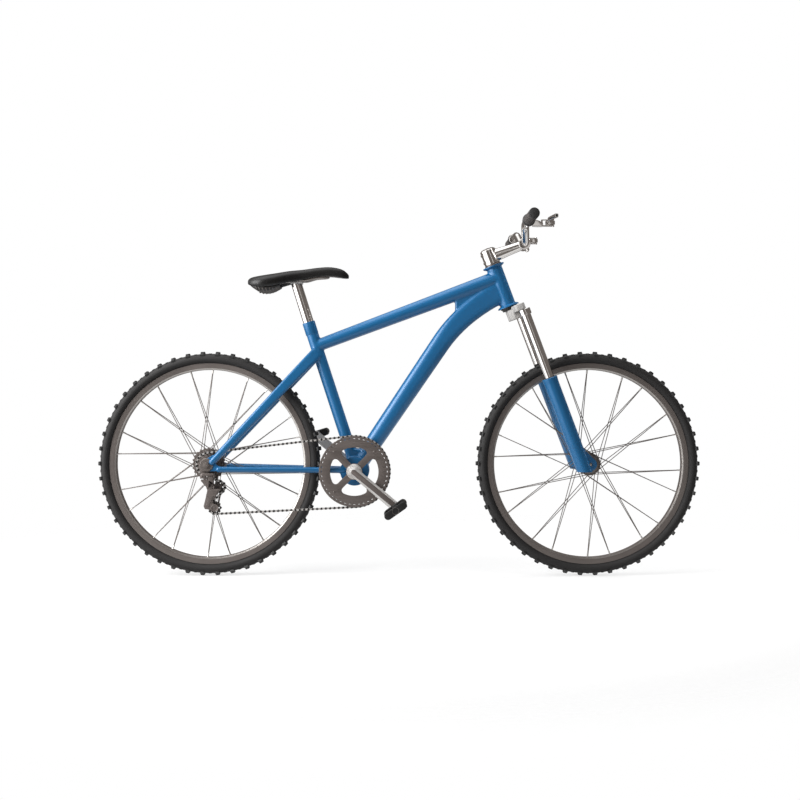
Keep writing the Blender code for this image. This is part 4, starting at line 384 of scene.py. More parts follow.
def welded(shapes):
    """Fuses tubes into one skin, files the welds smooth and keeps the tubes true between them."""
    trees = []
    for shape in shapes:
        work = bmesh.new()
        work.from_mesh(shape)
        trees.append(BVHTree.FromBMesh(work))
        work.free()
    body = linked(joined(shapes))
    skin = body.modifiers.new("skin", "REMESH")
    skin.mode = "VOXEL"
    skin.voxel_size = VOXEL * mm
    smoothed(body, "filed", 0.5, 6)
    trued = plain_mesh(body)
    for vert in trued.vertices:
        hits = sorted(((hit[3], hit[0]) for hit in (tree.find_nearest(vert.co) for tree in trees)),
                      key=lambda item: item[0])
        true = min(1, max(0, (hits[1][0] / mm - WELD_START) / WELD_WIDTH))
        vert.co = vert.co.lerp(hits[0][1], true)
    body = linked(trued)
    smoothed(body, "polished", 0.5, 10)
    smoothed(body, "restored", -0.52, 10)
    return plain_mesh(body)


tubes = [swept(TOP_TUBE, [18.2, 23], 96),
         swept((SEAT_TOP - 4 * mm * SEAT_UP, BOTTOM_BRACKET + step(6)), 18, 96),
         swept((HEAD + 1 * mm * STEER_UP, HEAD_TOP - 1 * mm * STEER_UP), 23.5, 96),
         swept((BOTTOM_BRACKET + 33 * mm * ACROSS, BOTTOM_BRACKET - 33 * mm * ACROSS), 42.5, 96),
         down_tube(), web(), shell_gusset(), *stays(-1), *stays(1)]
fitted("frame_tubes", [welded(tubes)], BLUE_LACQUER, "main_frame", ["frame"], crease=80)

# crisp edges that stay turned or cut: head tube rims, shell faces, seat collar and drop-outs
rim = [(20.4, 0), (32.5, 0), (32.5, 2.6), (31, 4), (23.4, 8), (20.4, 8)]
face = [(17.5, 34), (42, 34), (42.8, 33.2), (42.8, 27), (17.5, 27)]
collar = [(16.1, 0), (18.5, 0), (19, -0.6), (19, -36), (17.9, -38), (16.1, -38)]
dropout = eased([(-13, -12, 9), (8, -18.5, 6), (46, -18, 2), (46, -6, 2), (27, 0, 4), (30, 22, 2),
                 (20, 30, 2), (-13, 10, 9)])
crisp = [turned(rim, HEAD, STEER_UP), turned(rim, HEAD_TOP, -STEER_UP), turned(collar, SEAT_TOP, SEAT_UP)]
for way in (-1, 1):
    crisp += [turned(face, BOTTOM_BRACKET, way * ACROSS),
              plate([dropout, circle(0, 0, AXLE_HOLE)], way * DROPOUT_INNER,
                    way * (DROPOUT_INNER + DROPOUT_THICKNESS), side_on(REAR_AXLE), 0.8)]
fitted("frame_fittings", crisp, BLUE_LACQUER, "main_frame")


# Headset. Two turned cups pressed into the head tube, the upper one steel, the lower one with a
# black dust seal, round a steel steerer tube.
DARK_STEEL = finish("dark_steel", (0.115, 0.098, 0.090), 0.38, 0.4, grain=0.05, size=1800)
BLACK_SEAL = finish("black_seal", (0.012, 0.012, 0.012), 0.6, grain=0.1)
upper = [(14.8, -9.7), (14.8, 4.9), (23, 4.9), (25.2, 3.4), (25.5, 2.2), (25.5, 0.4), (20, 0.4), (20, -9.7)]
lower = [(14.8, 10), (20, 10), (20, -0.4), (25.5, -0.4), (25.5, -2), (22, -5), (20.5, -10.2), (14.8, -10.2)]
fitted("headset_cup_upper", [turned(upper, HEAD_TOP, STEER_UP)], DARK_STEEL, "main_frame",
       ["headset_upper_bearing"])
fitted("headset_seal_lower", [turned(lower, HEAD, STEER_UP)], BLACK_SEAL, "main_frame",
       ["headset_lower_bearing"])


def refinished(name, material):
    """Keeps a CAD piece that is hidden inside the others, in its own finish."""
    made = frame["nodes"][name]
    made.data.materials.clear()
    made.data.materials.append(material)


refinished("steerer_tube", DARK_STEEL)


# Fork crown and stanchions. One alloy casting, sand-blasted to a light grey, is pressed on the
# steerer; two hard chromed tubes with a thicker sleeve at the top are pressed into its ends.
CAST_ALLOY = finish("cast_alloy", (0.50, 0.485, 0.47), 0.6, 0.1, grain=0.35, size=1500)
CHROME = finish("polished_chrome", (0.68, 0.66, 0.64), 0.13, 1.0, grain=0.01, size=3000, uneven=0.05)
SIDES = (("right", 1), ("left", -1))
LEG_LINES = {side: HEAD + 32 * mm * STEER_FORWARD + way * 65 * mm * ACROSS for side, way in SIDES}
on_crown = Matrix.Translation(HEAD) @ Matrix((STEER_FORWARD, (0, 1, 0), STEER_UP)).transposed().to_4x4()
boss = [(-11, 22, 8), (4, 30, 10), (30, 30, 8)]
boss = eased(boss + [(x, -y, r) for x, y, r in reversed(boss)], 8)
casting = [plate([boss, circle(0, 0, 14.6)], -42.3, -10.4, on_crown, 2.4, 4)]
arm = [(2, 20, 1), (7, 84, 10), (38.2, 84, 10), (38.2, 34, 14), (28, 20, 1)]
for side, way in SIDES:
    outline = eased([(x, way * y, r) for x, y, r in arm[::way]], 8)
    casting.append(plate([outline], -23.5, -4.3, on_crown, 2.4, 4))
fitted("fork_crown_casting", casting, CAST_ALLOY, "steering", ["fork_crown"])
tube = [(0, -24), (17.2, -24), (18, -24.8), (18, -40.6), (17.2, -41.4), (14.5, -42), (14.5, -349.3),
        (12.5, -349.3), (12.5, -27), (0, -27)]
for side, way in SIDES:
    fitted(f"stanchion_tube_{side}", [turned(tube, LEG_LINES[side], STEER_UP)], CHROME, "steering",
           [f"stanchion_{side}"])
    refinished(f"piston_rod_{side}", DARK_STEEL)
refinished("fork_spring", DARK_STEEL)


# Fork legs. Cast sliders with a flared mouth that holds a black wiper seal, each with a flat tip
# that is cast on behind the hub, and blue lacquer like the frame's.
LEG_FOOT = 314.5 * mm


def cut_off(shape, level, side):
    """Cuts off what is above a level, or below it where side is -1, and closes the cut."""
    work = bmesh.new()
    work.from_mesh(shape)
    cut = bmesh.ops.bisect_plane(work, geom=[*work.verts, *work.edges, *work.faces],
                                 plane_co=(0, 0, level), plane_no=(0, 0, side), clear_outer=True)
    edges = [item for item in cut["geom_cut"] if isinstance(item, bmesh.types.BMEdge)]
    bmesh.ops.holes_fill(work, edges=edges)
    work.to_mesh(shape)
    work.free()
    return shape


leg = [(0, -471.3), (15.2, -471.3), (15.2, -239.3), (21.6, -239.3), (23, -240.4), (23, -243), (22.6, -247),
       (21.9, -254), (21.7, -262), (21.7, -562), (0, -562)]
tip = [polar(19, math.radians(turn)) for turn in range(-90, 51, 10)] + [(-30, 55), (-44, 52), (-30, -19)]
rib = [(-22, 44), (-9, 6), (-4, 2), (-2, 6), (-17, 47)]
wiper = [(14.9, -245), (14.8, -238.2), (15.6, -237.6), (17.4, -238.2), (18, -239.2), (15.5, -239.2)]
for side, way in SIDES:
    shapes = [cut_off(turned(leg, LEG_LINES[side], STEER_UP), LEG_FOOT, -1),
              plate([tip, circle(0, 0, AXLE_HOLE)], way * 50.6, way * 58.5, side_on(FRONT_AXLE), 1.2),
              plate([rib], way * 57, way * 60, side_on(FRONT_AXLE), 1.2)]
    fitted(f"fork_slider_{side}", shapes, BLUE_LACQUER, "fork_lowers", [f"fork_leg_{side}"])
    fitted(f"wiper_seal_{side}", [turned(wiper, LEG_LINES[side], STEER_UP)], BLACK_SEAL, "fork_lowers")


# Stem and handlebar. A polished stem clamps the steerer with a pinch bolt and the bar with one bolt
# from below; the bar is a chromed tube that rises twice on its way out to the grips.
STEM_MIDDLE = 159.3 * mm
BAR = HEAD + 108 * mm * STEER_FORWARD + STEM_MIDDLE * STEER_UP
GRIP = BAR + step(-9, 0, 43)
BAR_RADIUS = 11.3


def bolt(place, out, radius=3.2, height=3.4):
    """A cap screw with a socket in its head; its end is sunk in what it fastens."""
    profile = [(0, height - 2.2), (0.55 * radius, height - 2.2), (0.55 * radius, height),
               (0.86 * radius, height), (radius, height - 0.5), (radius, -1), (0, -1)]
    return turned(profile, place, out, 24)


clamp = [(14.6, 136.8), (22.3, 136.8), (23.5, 138), (23.5, 180.6), (22.3, 181.8), (14.6, 181.8)]
collar = [(11.8, -23), (16.6, -23), (17.5, -22), (17.5, 22), (16.6, 23), (11.8, 23)]
arm = []
for share in (k / 10 for k in range(11)):
    centre = HEAD + STEM_MIDDLE * STEER_UP + (17 + 81 * share) * mm * STEER_FORWARD
    tall = (19 - 6.5 * share + 2 * share ** 3) * mm
    arm.append(ring(centre, STEER_UP * tall, step(0, 18 - 5 * share + 3 * share ** 3)))
stem = [turned(clamp, HEAD, STEER_UP), loft(arm), turned(collar, BAR)]
for way in (-1, 1):
    lug = BAR + way * 9 * mm * ACROSS - 17 * mm * STEER_UP + 4 * mm * STEER_FORWARD
    pinch = HEAD - 19.5 * mm * STEER_FORWARD + (STEM_MIDDLE + way * 12 * mm) * STEER_UP
    stem += [turned([(0, 8), (5.4, 8), (5.4, -3.6), (4.6, -4.4), (0, -4.4)], lug, STEER_UP, 32),
             bolt(lug - 3.4 * mm * STEER_UP, -STEER_UP, 3.6),
             turned([(0, 15), (4.6, 15), (4.6, -15), (0, -15)], pinch, ACROSS, 32)]
fitted("stem_clamps", stem, CHROME, "steering", ["stem"])
cap = [(0, 186), (13.5, 186), (17.5, 185), (20.5, 183.4), (20.5, 182.1), (12, 182.1), (12, 170), (0, 170)]
fitted("stem_top_cap", [turned(cap, HEAD, STEER_UP), bolt(HEAD + 186 * mm * STEER_UP, STEER_UP, 4.2, 1.4)],
       DARK_STEEL, "steering", ["stem_cap"])
rise = [(0, 0), (22, 0), (44, 0.004), (56, 0.1), (66, 0.25), (83, 0.5), (100, 0.75), (110, 0.9), (124, 0.99),
        (140, 1), (230, 1), (336.6, 1)]
rise = [(-y, share) for y, share in reversed(rise[1:])] + rise
line = curved([BAR.lerp(GRIP, share) + step(0, y) for y, share in rise], 4)
fitted("handlebar_tube", [swept(line, BAR_RADIUS, 40)], CHROME, "steering", ["handlebar"])


# Grips. Ribbed sleeves of worn grey rubber, each with a black flange at its inner end and a black cap
# that closes its outer end.
GRIP_RUBBER = finish("grip_rubber", (0.060, 0.053, 0.049), 0.7, grain=0.5, size=1300)
GRIP_BLACK = finish("grip_black", (0.022, 0.022, 0.022), 0.55, grain=0.3, size=1500)
GRIP_RIBS = 20
sleeve = [(15, 335.4)]
for start in (332 - 115 * n / GRIP_RIBS for n in range(GRIP_RIBS)):
    sleeve += [(15, start - 0.6), (14.1, start - 1.4), (14.1, start - 3.4), (15, start - 4.2)]
sleeve += [(15, 214), (11.6, 214), (11.6, 335.4)]
cap = [(0, 340), (12.6, 340), (14.6, 339), (15, 337.5), (15, 335.4), (11, 335.4), (0, 336.8)]
flange = [(11.6, 214.2), (15.4, 214.2), (17.2, 213.2), (18, 212), (18, 210), (17.2, 209), (11.6, 209)]
for side, way in SIDES:
    fitted(f"grip_sleeve_{side}", [turned(sleeve, GRIP, way * ACROSS, 64)], GRIP_RUBBER, "steering",
           [f"grip_{side}"])
    fitted(f"grip_ends_{side}", [turned(part, GRIP, way * ACROSS, 64) for part in (cap, flange)],
           GRIP_BLACK, "steering")


# Brake levers. A polished bracket with a split clamp round the bar and two ears; the channel-shaped
# blade swings between them on a pin.
def block(low, high, edge, centre, arc=2):
    """A box with rounded edges between two corners, which are measured from a centre."""
    low, high = step(*low), step(*high)
    work = bmesh.new()
    shape = Matrix.Translation(centre + (low + high) / 2) @ Matrix.Diagonal((*(high - low), 1))
    bmesh.ops.create_cube(work, size=1, matrix=shape)
    bmesh.ops.bevel(work, geom=work.edges[:], offset=edge * mm, segments=arc, affect="EDGES", profile=0.5)
    mesh = bpy.data.meshes.new("block")
    work.to_mesh(mesh)
    work.free()
    return mesh


BLADE_BENDS = ((-6, 0, 0), (4, -3, 0.5), (14, -12, 2.5), (26, -15.5, 5), (40, -12, 7), (56, -6, 8.6),
               (73.9, 0, 9.6))
BRACKET_NECK = ((11, -17, 3, 6.6), (26, -18, 1.5, 6.4), (36, -17.8, -3, 6), (41, -17.6, -7, 5.6))
band = [(11.6, -7), (15.6, -7), (16.3, -6.2), (16.3, 6.2), (15.6, 7), (11.6, 7)]
ear = eased([(36, -5.6, 1), (60, -6.6, 4), (73, -6.2, 6), (73, 6.2, 6), (60, 6.6, 4), (36, 5.6, 1)])
pin = [(0, 10.4), (3.2, 10.4), (3.2, 9.2), (2.4, 9.2), (2.4, -10.4), (3.2, -10.4), (3.2, -11.4), (0, -11.4)]


def across_blade(centre, tall, wide):
    return ring(centre, UP * tall * mm, step(wide), 32, 5)


for side, way in SIDES:
    pivot = joint_place(f"{side}_lever_pull")
    middle = Vector((GRIP.x, pivot.y, GRIP.z))
    level = (pivot.z - middle.z) / mm
    neck = [ring(middle + step(x, 0, (low + high) / 2), step(0, 0, (high - low) / 2), step(0, half), 32, 5)
            for x, low, high, half in BRACKET_NECK]
    shapes = [turned(band, middle), loft(neck), turned(pin, pivot, UP, 24),
              block((36, -5, level - 9), (41, 5, level + 9), 1.5, middle),
              bolt(middle + step(-3, 0, -15.5), -UP, 3)]
    for low, high in ((-10.5, -6.9), (6.9, 9.3)):
        shapes.append(plate([ear], level + low, level + high, Matrix.Translation(middle), 0.8))
    fitted(f"lever_bracket_{side}", shapes, CHROME, "steering", [f"lever_clamp_{side}"])
    line = curved([pivot + way * a * mm * ACROSS + step(b, 0, c) for a, b, c in BLADE_BENDS], 5)
    rings = []
    for n, spot in enumerate(line):
        share = (n / (len(line) - 1)) ** 6
        along = (line[min(n + 1, len(line) - 1)] - line[max(n - 1, 0)]).normalized()
        deep = UP.cross(along).normalized() * (3.6 + 1.6 * share) * mm
        rings.append(ring(spot, UP * (5.2 + 0.4 * share) * mm, deep, 32, 5))
    out = way * mm * ACROSS
    rings += [across_blade(line[-1] + 0.4 * out, 5.2, 4.8), across_blade(line[-1] + 0.4 * out, 4, 3.7)]
    fitted(f"lever_blade_{side}", [loft(rings), block((-22, -3.8, -6.3), (5, 3.8, 6.3), 2, pivot, 3)], CHROME,
           f"{side}_lever", [f"brake_lever_{side}"])
    # painted shade: a black plug fills the blade's open end in place of the shadow inside the hollow
    cap = [across_blade(line[-1] + reach * out, tall, wide)
           for reach, tall, wide in ((-2, 3.9, 3.6), (0.6, 3.9, 3.6), (0.9, 3.3, 3))]
    fitted(f"lever_end_cap_{side}", [loft(cap)], BLACK_SEAL, f"{side}_lever")


# Tyres. Moulded black rubber with a smooth side wall; the tread is rows of square knobs, and each
# bead is hooked under the edge of the rim.
DULL = {"Specular IOR Level": 0.3}
TYRE_RUBBER = finish("tyre_rubber", (0.024, 0.023, 0.023), 0.7, grain=0.3, size=1100, uneven=0.18, more=DULL)
KNOB_RUBBER = finish("knob_rubber", (0.013, 0.013, 0.013), 0.55, grain=0.4, size=1400)
TUBE_RUBBER = finish("tube_rubber", (0.015, 0.015, 0.015), 0.7, grain=0.2, size=700)
WHEELS = {"front": FRONT_AXLE, "rear": REAR_AXLE}
TYRE_RADIUS = 335
KNOB_ROWS = 46
HALF_ROW = 180 / KNOB_ROWS
# length, width, turn and lean in degrees, distance from the middle, and radius at the top and the base
KNOBS = ((12.5, 7.6, HALF_ROW, -3, 4.8, TYRE_RADIUS, 326.5), (10, 4, 0, -2, 3.4, 329.7, 326.5),
         (9, 4.5, 0, -24, 11, 328.2, 323), (12.5, 6.5, HALF_ROW, -38, 14.4, 330.2, 322))


def geometry_tree(name, sockets):
    """A new tree that takes a shape and some named inputs, and gives a shape."""
    tree = bpy.data.node_groups.new(name, "GeometryNodeTree")
    for label, kind in (("Geometry", "Geometry"), *sockets):
        tree.interface.new_socket(label, in_out="INPUT", socket_type=f"NodeSocket{kind}")
    tree.interface.new_socket("Geometry", in_out="OUTPUT", socket_type="NodeSocketGeometry")
    return tree, node(tree, "NodeGroupInput").outputs


def arithmetic(tree, operation, one, two):
    return node(tree, "ShaderNodeMath", {0: one, 1: two}, operation=operation).outputs[0]


def set_out(tree, shape, count, places, turns):
    """Ends a tree with real copies of its shape at some places, each with its own turn."""
    spots = node(tree, "GeometryNodePoints", {"Count": count, "Position": places}).outputs[0]
    placed = node(tree, "GeometryNodeInstanceOnPoints", {"Points": spots, "Instance": shape,
                                                         "Rotation": turns})
    real = node(tree, "GeometryNodeRealizeInstances", {0: placed.outputs[0]})
    node(tree, "NodeGroupOutput", {0: real.outputs[0]})
    return tree


def copies_round_an_axle():
    """A tree that repeats a shape at equal turns round a line across the bicycle."""
    tree, given = geometry_tree("copies_round_an_axle", (("Copies", "Int"), ("Axle", "Vector")))
    number = node(tree, "GeometryNodeInputIndex").outputs[0]
    turn = arithmetic(tree, "MULTIPLY", arithmetic(tree, "DIVIDE", number, given["Copies"]), ROUND)
    about = node(tree, "ShaderNodeCombineXYZ", {"Y": turn}).outputs[0]
    return set_out(tree, given["Geometry"], given["Copies"], given["Axle"], about)


AXLE_COPIES = copies_round_an_axle()


def grown(tree, shapes, **values):
    """Runs a tree on some shapes and returns the plain mesh."""
    made = linked(joined(shapes))
    growth = made.modifiers.new("growth", "NODES")
    growth.node_group = tree
    for item in tree.interface.items_tree:
        if item.in_out == "INPUT" and item.name in values:
            growth[item.identifier] = values[item.name]
    return plain_mesh(made)


def round_axle(shapes, copies, axle):
    return grown(AXLE_COPIES, shapes, Copies=copies, Axle=tuple(axle))


def knob(way, long, wide, turn, lean, offset, top, base):
    """One tread knob near the top of the wheel, on the side of the tread that way gives."""
    rings = [[step(x * long / 2 * share, y * wide / 2 * share, radius - base)
              for x, y in ((-1, -1), (1, -1), (1, 1), (-1, 1))]
             for radius, share in ((base, 1), (top - 0.8, 0.88), (top, 0.74))]
    shape = loft(rings)
    shape.transform(Matrix.Rotation(math.radians(turn), 4, "Y")
                    @ Matrix.Translation(step(0, way * offset, base))
                    @ Matrix.Rotation(way * math.radians(lean), 4, "X"))
    return shape


def mirrored(half):
    """A profile that starts on one side of the middle and runs back on the other side."""
    return half + [(x, -y) for x, y in reversed(half) if y]


casing = mirrored([(328.9, 0), (328.5, 6), (327.2, 11.5), (324.6, 15.8), (320.6, 19.4), (315.6, 21.5),
                   (311, 21.6), (306.5, 19.6), (303.4, 16.4), (302, 14), (300.5, 10.6), (299, 10.1),
                   (289.6, 10.1), (289.6, 8), (300, 7.6), (304, 12.6), (309, 18), (314, 18.6),
                   (319.5, 16.4), (323.4, 12.4), (325.6, 6.5), (326.2, 0)])
tread = [knob(way, *sizes) for sizes in KNOBS for way in (1, -1)]
for wheel, axle in WHEELS.items():
    fitted(f"{wheel}_tyre_casing", [turned(casing, axle, ACROSS, 4 * KNOB_ROWS)], TYRE_RUBBER,
           f"{wheel}_wheel", [f"{wheel}_tyre"])
    fitted(f"{wheel}_tyre_knobs", [round_axle(tread, KNOB_ROWS, axle)], KNOB_RUBBER, f"{wheel}_wheel",
           crease=30)
    refinished(f"{wheel}_inner_tube", TUBE_RUBBER)


# Rims. Extruded alloy hoops, rolled round and welded, with a dull grey anodised finish and a hook for
# each bead; a thin bright band on each side's rounded inner shoulder is a painted highlight.
RIM_ALLOY = finish("anodised_rim", (0.150, 0.130, 0.120), 0.45, 0.4, grain=0.06, size=1600)
BRIGHT_ALLOY = finish("bright_alloy", (0.42, 0.40, 0.38), 0.3, 0.9, grain=0.05, size=1600)
hoop = mirrored([(280, 7), (280.8, 9.6), (283, 11.4), (286.4, 12.2), (287.4, 12.4), (299.4, 13), (300, 13),
                 (300, 11.2), (298.6, 10.4), (297, 11), (290.6, 11), (289, 9.4), (288.6, 4)])
# painted highlight: a bright band on the curve of the inner shoulder, where the hoop's edge catches the light
edge = [(284.4, 11.75), (284.9, 12.15), (281.3, 10.55), (281.6, 10.1)]
for wheel, axle in WHEELS.items():
    fitted(f"{wheel}_rim_hoop", [turned(hoop, axle, ACROSS, 180)], RIM_ALLOY, f"{wheel}_wheel",
           [f"{wheel}_rim"], crease=25)
    painted_highlight_bands = [turned([(r, way * y) for r, y in edge], axle, ACROSS, 180) for way in (-1, 1)]
    fitted(f"{wheel}_rim_edges", painted_highlight_bands, BRIGHT_ALLOY, f"{wheel}_wheel")


# Spokes. Forty drawn steel wires a wheel, hooked in the hub's flanges and pulled tight by a brass
# nipple in the rim, in ten groups; on each side they leave the flange by turns forwards and back.
SPOKE_WIRE = finish("spoke_wire", (0.150, 0.132, 0.122), 0.4, 0.5, grain=0.04, size=3000)
SPOKE_GROUPS = 10
SPOKE_RADIUS = 1.2
RIM_END, RIM_OFFSET = 279, 3
HOOK_CIRCLE, HOOK_OFFSET = 30.5, 2.1
HOOK_LEAN = math.acos(HOOK_CIRCLE / 278)
GROUP_HALF_ANGLE = math.radians(6.85)
FLANGES = {"front": (32, -32), "rear": (22, -34)}
FIRST_SPOKE = {"front": math.radians(97), "rear": math.radians(95.3)}
nipple = [(0, 0), (1.25, 0), (1.9, 1.5), (1.9, 10), (2.7, 12), (0, 12)]
for wheel, axle in WHEELS.items():
    wires, nipples = [], []
    for way in (-1, 1):
        turn = FIRST_SPOKE[wheel] + way * GROUP_HALF_ANGLE
        for side, flange in zip((1, -1), FLANGES[wheel]):
            rim_end = (in_plane(turn) * RIM_END + ACROSS * side * RIM_OFFSET) * mm
            hook = (in_plane(turn - way * HOOK_LEAN) * HOOK_CIRCLE
                    + ACROSS * (flange + way * HOOK_OFFSET)) * mm
            along = (rim_end - hook).normalized()
            bend = hook - (ACROSS * way * 1.6 + along * 0.5) * mm
            wires += [swept((hook, hook.lerp(rim_end, 0.5), rim_end), SPOKE_RADIUS, 8),
                      swept((hook + along * 0.4 * mm, hook, bend), [SPOKE_RADIUS, 1.22, 1.6], 8)]
            nipples.append(turned(nipple, rim_end - along * 10.4 * mm, along, 8))
    fitted(f"{wheel}_wheel_spokes", [round_axle(wires, SPOKE_GROUPS, axle)], SPOKE_WIRE, f"{wheel}_wheel",
           [f"{wheel}_spokes"])
    fitted(f"{wheel}_spoke_nipples", [round_axle(nipples, SPOKE_GROUPS, axle)], BRIGHT_ALLOY,
           f"{wheel}_wheel")


# Hubs. Turned alloy shells with a flange each side for the spokes, on ball bearings behind dust
# discs; the front one runs on a solid axle, the rear one is held by two nuts on wide washers.
HUB_ALLOY = finish("hub_alloy", (0.140, 0.122, 0.112), 0.42, 0.4, grain=0.05, size=1800)


def hub_flange(middle):
    """Profile of a spoke flange with rounded rims, from its outer side inwards."""
    half = [(20, 2.6), (25, 1.5), (33, 1.3), (34, 0.4)]
    return [(radius, middle + reach) for radius, reach in mirrored(half)]


front = mirrored([(5.3, 50.2), (9, 50.2), (12, 49.8), (24.6, 47.4), (26, 46.4), (26, 43.4), (25, 42.6),
                  (16, 42.2), (14.6, 40), (15, 36), *hub_flange(32), (14.6, 27), (13.4, 20)])
rear = [(5.3, 25), (17, 25), *hub_flange(22), (16.4, 17), (15.4, 10), (15.4, -22), (16.4, -29),
        *hub_flange(-34), (16, -38.6), (15.4, -54), (14, -55.4), (9.6, -60), (9, -61.4), (9, -67), (5.3, -67)]
for (wheel, axle), profile in zip(WHEELS.items(), (front, rear)):
    fitted(f"{wheel}_hub_shell", [turned(profile, axle)], HUB_ALLOY, f"{wheel}_wheel",
           [f"{wheel}_hub"], crease=30)
pin = mirrored([(0, 62), (3.4, 61.4), (5, 58.8)])
fitted("front_axle_pin", [turned(pin, FRONT_AXLE, ACROSS, 48)], BRIGHT_ALLOY, "fork_lowers",
       ["front_axle"])
nut = [(0, 82.8), (4.2, 82.8), (5, 82), (5, 81.6), (7.4, 81.6), (8.2, 80.8), (8.2, 76.4), (18.4, 76.2),
       (19.6, 75.2), (19.6, 74), (18, 73.6), (5, 73.6)]
locknut = [(5, 67.2), (9, 67.2), (9, 58.4), (5, 58.4)]
far_nut = [(radius, -reach) for radius, reach in reversed(nut)]
fitted("rear_axle_nuts", [turned(nut + locknut + far_nut, REAR_AXLE)], HUB_ALLOY, "main_frame",
       ["rear_axle"], crease=30)


# Cassette. Six stamped sprockets with 24 down to 13 teeth, spaced by rings on the freehub body and
# held by a lockring outside the smallest.
SPROCKET_STEEL = finish("sprocket_steel", (0.108, 0.090, 0.082), 0.45, 0.3, grain=0.08, size=1500, uneven=0.2)
CHAIN_PITCH = 12.7
CHAIN_LINE = 45
CHAIN_SPROCKET = 3
SPROCKET_TEETH = (24, 21, 19, 17, 15, 13)
SPROCKET_GAP = 5
SPROCKET_BORE = 17.6
SPACER_RADIUS = 21
HOLES_FROM = 37
refinished("freehub_body", DARK_STEEL)


def pitch_radius(teeth):
    return CHAIN_PITCH / 2 / math.sin(math.pi / teeth)


def toothed(teeth, tip=1.5, root=2.6, first=0.0):
    """Outline of a chain wheel: round seats for the rollers between narrow teeth."""
    seat = -0.75 * root
    tooth = ((-0.08, tip), (0.08, tip), (0.2, 0.1), (0.33, seat), (0.5, -root), (0.67, seat), (0.8, 0.1))
    return [polar(pitch_radius(teeth) + reach, first + ROUND * (n + share) / teeth)
            for n in range(teeth) for share, reach in tooth]


lockring = [(SPROCKET_BORE, 57), (19.4, 57), (20.4, 56.2), (SPROCKET_BORE, 56.2)]
sprockets = [turned(lockring, REAR_AXLE, ACROSS, 60)]
for n, teeth in enumerate(SPROCKET_TEETH):
    middle = CHAIN_LINE + SPROCKET_GAP * (n - CHAIN_SPROCKET)
    radius = pitch_radius(teeth)
    outlines = [toothed(teeth, first=n * 0.13), circle(0, 0, SPROCKET_BORE, 48)]
    if radius > HOLES_FROM:
        count = 10 if teeth == SPROCKET_TEETH[0] else 8
        outlines += [circle(*polar((radius + 17.2) / 2, ROUND * k / count), (radius - 26.5) / 2.6, 20)
                     for k in range(count)]
    sprockets.append(plate(outlines, middle - 1, middle + 1, side_on(REAR_AXLE), 0.25, 1))
    if n:
        near, far = middle - 4, middle - 1
        spacer = [(SPROCKET_BORE, far), (SPACER_RADIUS, far), (SPACER_RADIUS, near), (SPROCKET_BORE, near)]
        sprockets.append(turned(spacer, REAR_AXLE, ACROSS, 48))
fitted("cassette_sprockets", sprockets, SPROCKET_STEEL, "sprockets", ["cassette"])


# Bottom bracket and cranks. Two threaded cups hold the spindle's bearings in the frame's shell. The
# cranks are forged alloy with polished bevels; a dull grey panel let into the outer face is a painted dark
# reflection.
CRANK_ALLOY = finish("polished_alloy", (0.66, 0.64, 0.62), 0.28, 0.35, grain=0.03, size=2500, uneven=0.1)
RING_STEEL = finish("chainring_steel", (0.124, 0.104, 0.095), 0.45, 0.3, grain=0.08, size=1500, uneven=0.08)
CRANK_LENGTH = 160
CRANK_ANGLES = {"right": math.radians(-40), "left": math.radians(140)}
refinished("bb_spindle", DARK_STEEL)


def bar_outline(a, ra, b, rb, steps=16):
    """A flat bar with a round end about each of two centres."""
    a, b = Vector(a), Vector(b)
    aim = math.atan2(b.y - a.y, b.x - a.x)
    lean = math.acos((ra - rb) / (b - a).length)
    ends = ((a, ra, aim + lean, ROUND - 2 * lean), (b, rb, aim - lean, 2 * lean))
    return [polar(radius, start + sweep * k / steps, *centre)
            for centre, radius, start, sweep in ends for k in range(steps + 1)]


cup = [(8.4, 37.9), (15.5, 37.9), (16.5, 36.8), (20.2, 36.8), (21, 36), (21, 34.4), (17.1, 34.4),
       (17.1, 14.2), (8.4, 14.2)]
boss_starts = {"right": [(8.35, 39.2), (13.6, 39.2), (13.6, 52.4), (22.6, 52.4)],
               "left": [(8.35, 39.2), (15.2, 39.2)]}
place = side_on(BOTTOM_BRACKET)
for side, way in SIDES:
    out = way * ACROSS
    fitted(f"bearing_cup_{side}", [turned(cup, BOTTOM_BRACKET, out)], BRIGHT_ALLOY, "main_frame",
           [f"bb_cup_{side}"], crease=30)
    end = Vector(polar(CRANK_LENGTH, CRANK_ANGLES[side]))
    high_end = end + Vector((-end.y, end.x)).normalized() * 1.8 * way
    levels = ((62, 13.6, end, 14), (68.5, 13.6, end, 14), (69.8, 12.8, end, 13.2), (76, 8.2, high_end, 8))
    arm = [[place @ step(x, y, way * reach) for x, y in bar_outline((0, 0), near, centre, far)]
           for reach, near, centre, far in levels]
    boss = list(boss_starts[side])
    for radius, reach in ((22.6, 55.6), (19, 59.2), (15.6, 62.8)):
        boss += [(radius - r, reach + y) for r, y in ((0, 0), (0.9, 0.9), (2.8, 0.9), (3.4, 0))]
    boss += [(12.2, 70), (8.35, 70)]
    fitted(f"crank_arm_{side}", [loft(arm), turned(boss, BOTTOM_BRACKET, out)], CRANK_ALLOY, "cranks",
           [f"crank_{side}"], crease=25)
    # painted reflection: a dark grey panel on the flat outer face stands in for the dim room mirrored there
    panel = plate([bar_outline((0, 0), 7.6, high_end, 7.4)], way * 75.6, way * 76.2, place, 0.15, 1)
    fitted(f"crank_panel_{side}", [panel], RING_STEEL, "cranks")


# Chainring. Fifty-two stamped teeth under a pressed guard disc with four windows and a ring of small
# slots, dull grey like the cassette.
GUARD_SLOTS = 44
SLOT_CIRCLE = 97.4
WINDOW_OUTER, WINDOW_INNER = 71.5, 24.5
WINDOW_CORNERS = ((WINDOW_OUTER - 10, 10), (WINDOW_INNER + 2, 2))
ARM_HALF_WIDTH = 10


